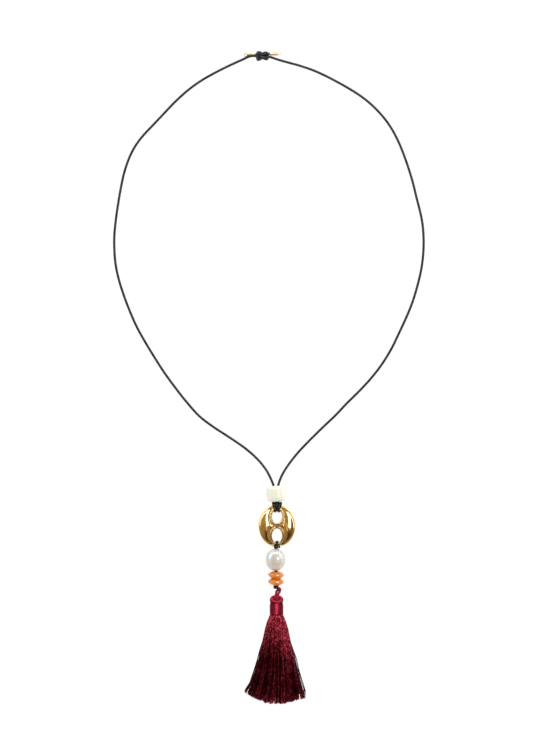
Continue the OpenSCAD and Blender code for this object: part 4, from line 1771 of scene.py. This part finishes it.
    def _hang(self, layer: Layer, silk: Material, draw: random.Random) -> None:
        """Hangs one layer of threads, each drawn to the nearest lock.

        Args:
            layer: The layer.
            silk: What it is made of.
            draw: The seeded draws.
        """
        locks = [
            (
                TURN * (index + draw.uniform(-self.lock_spread, self.lock_spread)) / self.locks,
                draw.uniform(-1, 1),
                draw.uniform(*self.lock_reach),
            )
            for index in range(self.locks)
        ]
        bundle = Bundle(layer.name, self.thread_r * MM)
        for _ in range(layer.count):
            around = TURN * draw.random()
            ways = [((lock_at - around + math.pi) % TURN - math.pi, *rest) for lock_at, *rest in locks]
            off, shade, reach = min(ways, key=lambda way: abs(way[0]))
            out = draw.uniform(*layer.depth)
            length = 1 + reach + draw.uniform(*self.cut_short) - self.cut_most * draw.random() ** 6
            wave = draw.uniform(0, TURN)
            sway = draw.uniform(*self.sway)
            tone = self.tone + self.tone_by_lock * shade
            tone += draw.uniform(-self.tone_spread, self.tone_spread)
            end_side = out * math.cos(around + self.gather * off)
            way = 0 if end_side < 0 else 1
            apart = self.trim[way]
            if abs(end_side) > self.tuft_from[way]:
                apart = self.tuft[way] + self.tuft_by_lock * shade
            path, tones = [], []
            for step in range(layer.points):
                share = step / (layer.points - 1)
                angle = around + off * (self.gather * share**0.7)
                side = out * math.cos(angle)
                at = share * self._hem(side * share) * length
                half_w, half_h, x, lift = self._section(at)
                swing = sway * math.sin(wave + 7 * share) * share
                z = max(self.thread_r, lift + half_h * out * math.sin(angle) + 0.4 * swing)
                trim = apart * eased((share - 0.65) / 0.35)
                reach_x = (half_w + 0.4 - 0.7 * share) * (1 - trim - self._thinned(share))
                path.append(mm(x + reach_x * side + swing, self._down(at), z))
                # Each thread's tone takes the painted highlight at the skirt's top and right side.
                tones.append(tone + self._painted_light_and_hem(share, side))
            bundle.thread(path, tones, self.thread_tip)
        seat(bundle.done(silk), "silk")

    def _hang_strays(self, silk: Material, draw: random.Random) -> None:
        """Lets single threads stand off the skirt's two edges and corners.

        Args:
            silk: What it is made of.
            draw: The seeded draws.
        """
        bundle = Bundle("stray_threads_of_tassel", self.stray_r * self.thread_r * MM)
        for index in range(self.strays):
            way = -1 if index % 2 else 1
            inward = draw.uniform(*self.stray_inward)
            leave = draw.uniform(*self.stray_leave)
            reach = draw.uniform(0, self.stray_reach)
            wave = draw.uniform(0, TURN)
            end = min(1, self._hem(way) + draw.uniform(-0.05, 0.02))
            path = []
            for step in range(self.stray_points):
                share = end * step / (self.stray_points - 1)
                half_w, _, x, lift = self._section(share)
                off = max(0, share - leave) / (1 - leave) * reach
                bow = 4 * share / end * (1 - share / end)
                side = half_w * (1 - inward * self._thinned(share)) - 0.4 * share + off * (0.3 + bow)
                side = way * (side + 0.35 * share * math.sin(wave + 8 * share))
                sink = (1 - share) * lift + share * self.thread_r
                z = lift if share < leave else max(self.thread_r, sink)
                path.append(mm(x + side, self._down(share), z))
            bundle.thread(path, draw.uniform(0, 0.25), self.stray_tip)
        seat(bundle.done(silk), "silk")


class Shown(Enum):
    """Whose gloss shows a lamp: all pieces, or only those that are named."""

    BY_ALL = ()
    BY_LINK = ("gilt_puffed_link",)
    BY_PEARL = ("drilled_pearl",)
    BY_SAUCERS = ("upper_stone_saucer", "lower_stone_saucer")
    BY_BINDING = ("wound_binding_of_tassel",)
    BY_RIGHT_CAP = ("gilt_end_cap_right",)


# Directions of a lamp's width: level, or standing tall as the pendant sees it
LEVEL = (1, 0, 0)
TALL = (-0.16, 0.98, -0.59)


@dataclass(frozen=True)
class Lamp:
    """A soft oblong light that looks at the pendant, with its place in metres and its power in watts."""

    name: str
    place: Point
    size: tuple[float, float]
    power: float
    colour: Colour
    along: Point = LEVEL
    shown: Shown = Shown.BY_ALL

    def hang(self, aim: Vector) -> None:
        """Makes the light, turns it to a point and links it to the pieces that alone show it.

        Args:
            aim: The point.
        """
        data = bpy.data.lights.new(self.name, "AREA")
        data.shape = "RECTANGLE"
        data.size, data.size_y = self.size
        data.energy, data.color = self.power, self.colour
        lamp = bpy.data.objects.new(self.name, data)
        back = (Vector(self.place) - aim).normalized()
        width = Vector(self.along)
        width = (width - width.dot(back) * back).normalized()
        turn = Matrix((width, back.cross(width), back)).transposed().to_4x4()
        lamp.matrix_world = Matrix.Translation(self.place) @ turn
        bpy.context.scene.collection.objects.link(lamp)
        if self.shown is not Shown.BY_ALL:
            lit = bpy.data.collections.new(f"lit by {self.name}")
            for name in self.shown.value:
                lit.objects.link(bpy.data.objects[name])
            lamp.light_linking.receiver_collection = lit
            lamp.visible_diffuse = False


LAMPS = (
    Lamp("key light", (0.43, 0.24, 0.56), (1.15, 0.13), 2.1, (1, 0.99, 0.97), TALL),
    *(
        Lamp("window pane", (x, 0.85, z), (0.2, 0.2), 0.3, (0.5, 0.8, 1))
        for x in (-0.66, -0.4, -0.14, 0.12, 0.38)
        for z in (0.2, 0.46)
    ),
    *(
        Lamp("left window pane", place, (0.2, 0.12), 0.17, (0.85, 1, 0.9), (0.12, 0.24, -0.1))
        for place in ((-0.84, 0.06, 0.46), (-0.72, 0.3, 0.36), (-0.6, 0.54, 0.26))
    ),
    Lamp("link light", (-0.32, 0.25, 0.7), (1, 0.16), 1.6, (1, 1, 0.97), (-0.03, 0.85, -0.5), Shown.BY_LINK),
    Lamp("link edge light", (0.57, 0.54, 0.41), (0.35, 0.06), 0.1, (0.8, 1, 0.85), TALL, Shown.BY_LINK),
    *(
        Lamp("warm lamp", (x, -0.22, 0.92), (0.06, 0.22), 0.028, (1, 0.5, 0.35), LEVEL, Shown.BY_LINK)
        for x in (-0.38, 0.36)
    ),
    *(
        Lamp("pearl window", place, (1.1, 0.45), 14, (0.3, 0.64, 1), along, Shown.BY_PEARL)
        for place, along in (
            ((-0.1, 0.85, 0.33), LEVEL),
            ((-0.9, 0.25, 0.33), (0.4, 0.9, 0)),
            ((0.85, 0.3, 0.2), (0.5, -0.85, 0)),
        )
    ),
    Lamp("pearl lamp", (0.46, -0.12, 0.8), (0.45, 0.45), 7, (1, 0.98, 0.95), LEVEL, Shown.BY_PEARL),
    Lamp("saucer lamp", (0.4, -0.17, 0.85), (0.5, 0.35), 12, (1, 0.95, 0.88), LEVEL, Shown.BY_SAUCERS),
    Lamp("binding lamp", (0, 0.3, 0.9), (0.5, 0.5), 60, (1, 0.98, 0.96), LEVEL, Shown.BY_BINDING),
    Lamp("cap lamp", (0, 0.2, 0.9), (1, 1), 3.6, (1, 0.97, 0.93), LEVEL, Shown.BY_RIGHT_CAP),
)


@dataclass
class Studio:
    """The camera, the table and the lights."""

    frame_w: float = 533
    frame_h: float = 754
    scale: float = 0.6
    origin_pixel: tuple[float, float] = (276, 270)
    lens: float = 200
    level: float = 1.5
    sensor: float = 36
    table_half: float = 3
    aim: Vector = field(default_factory=lambda: mm(0, -170, 0))
    diffuse: Colour = (0.8, 0.79, 0.76)
    seen: Colour = (0.9, 0.9, 0.9)

    def camera(self) -> None:
        """Hangs the camera straight above the necklace, at the photograph's framing."""
        across, down = self.origin_pixel
        centre = mm((self.frame_w / 2 - across) * self.scale, (down - self.frame_h / 2) * self.scale, 0)
        view = self.frame_h * self.scale * MM
        data = bpy.data.cameras.new("camera")
        data.lens, data.sensor_width = self.lens, self.sensor
        data.clip_start = 0.01
        eye = bpy.data.objects.new("camera", data)
        eye.location = centre + Vector((0, 0, view * self.lens / self.sensor + self.level * MM))
        bpy.context.scene.collection.objects.link(eye)
        bpy.context.scene.camera = eye

    def table(self, white: Material) -> None:
        """Lays the white table under the necklace.

        Args:
            white: What it is made of.
        """
        maker = Maker("table")
        bmesh.ops.create_grid(maker.bm, x_segments=1, y_segments=1, size=self.table_half)
        maker.done(white)

    def lights(self) -> None:
        """Hangs the lamps and sets up the room, which only gloss shows in full."""
        for lamp in LAMPS:
            lamp.hang(self.aim)
        world = bpy.data.worlds.new("room")
        world.use_nodes = True
        tree = Tree(world.node_tree)
        rays = tree.add("ShaderNodeLightPath").outputs
        colour = tree.mix(rays["Is Diffuse Ray"], self._room(tree), self.diffuse)
        colour = tree.mix(rays["Is Camera Ray"], colour, self.seen)
        back = tree.add("ShaderNodeBackground", {"Color": colour})
        tree.add("ShaderNodeOutputWorld", {"Surface": back.outputs[0]})
        world.cycles.sampling_method = "NONE"
        bpy.context.scene.world = world
        bpy.context.scene.view_settings.view_transform = "Standard"

    @staticmethod
    def _room(tree: Tree) -> Socket:
        """The warm room that gloss shows: dark at its low right and in two stripes, pale round its foot.

        Args:
            tree: The world's tree.

        Returns:
            The room's colour.
        """
        ramp = partial(tree.ramp, interpolation_type="SMOOTHSTEP")
        way = tree.add("ShaderNodeTexCoord").outputs["Generated"]
        x, y, z = tree.parts(way)
        turn = tree.math("MULTIPLY_ADD", x, TURN / 0.92, -TURN * 0.5 / 0.92)
        stripes = tree.math("MULTIPLY", ramp(tree.math("COSINE", turn), 0.6, 0.95), ramp(y, -0.1, -0.3))
        corner = tree.math("MULTIPLY", ramp(x, 0.15, 0.5), ramp(y, 0.0, -0.35))
        room = tree.mix(ramp(tree.noise(way, 3.2, 1.0), 0.4, 0.6), (0.45, 0.3, 0.11), (0.3, 0.2, 0.075))
        for share, colour in (
            (ramp(y, -0.25, -0.75), (0.07, 0.045, 0.025)),
            (ramp(x, 0.62, 0.72), (0.06, 0.045, 0.03)),
            (corner, (0.1, 0.07, 0.04)),
            (stripes, (0.05, 0.035, 0.025)),
            (ramp(z, 0.5, 0.42), (1.0, 0.96, 0.88)),
        ):
            room = tree.mix(share, room, colour)
        return room


def main() -> None:
    """Sets the studio, builds each part of the necklace in turn and dresses it."""
    logging.basicConfig(level=logging.INFO, format="%(name)s: %(message)s")
    studio = Studio()
    studio.camera()
    effects = Effects()
    stuff = {finish.name: finish.make(effects) for finish in FINISHES}
    plan = Plan()
    cord = NeckCord(plan, stuff["black leather"])
    for side in Side:
        cord.lay(side)
    cord.back_knot()
    # The hitch is the neck cord itself, darkened as painted shade.
    cord.hitch(stuff["darker black leather"])
    caps = EndCaps()
    # The end caps take the shaded and the lit copies of the gilt.
    for side, ring_turn, gilt in ((Side.LEFT, 0, "amber gilt in painted shade"), (Side.RIGHT, 90, "pale gilt in painted light")):
        caps.make(side, cord.cap_mouth(side), ring_turn, stuff[gilt])
    BoneBead(plan).make(stuff["bone"])
    PuffedLink(plan).make(stuff["gilt"])
    drop = Drop(plan)
    drop.cord(stuff["darker black leather"])
    drop.pearl(stuff["nacre"])
    for where, s in (("upper", plan.upper_s), ("lower", plan.lower_s)):
        drop.saucer(where, s, stuff["orange stone"])
    tassel = Tassel(plan)
    tassel.loop(stuff["lit copy of burgundy silk"])
    tassel.head(stuff["lit copy of burgundy silk"])
    tassel.binding(stuff["bound silk"])
    tassel.skirt(stuff["burgundy silk"])
    studio.table(stuff["white table"])
    studio.lights()


if __name__ == "__main__":
    main()
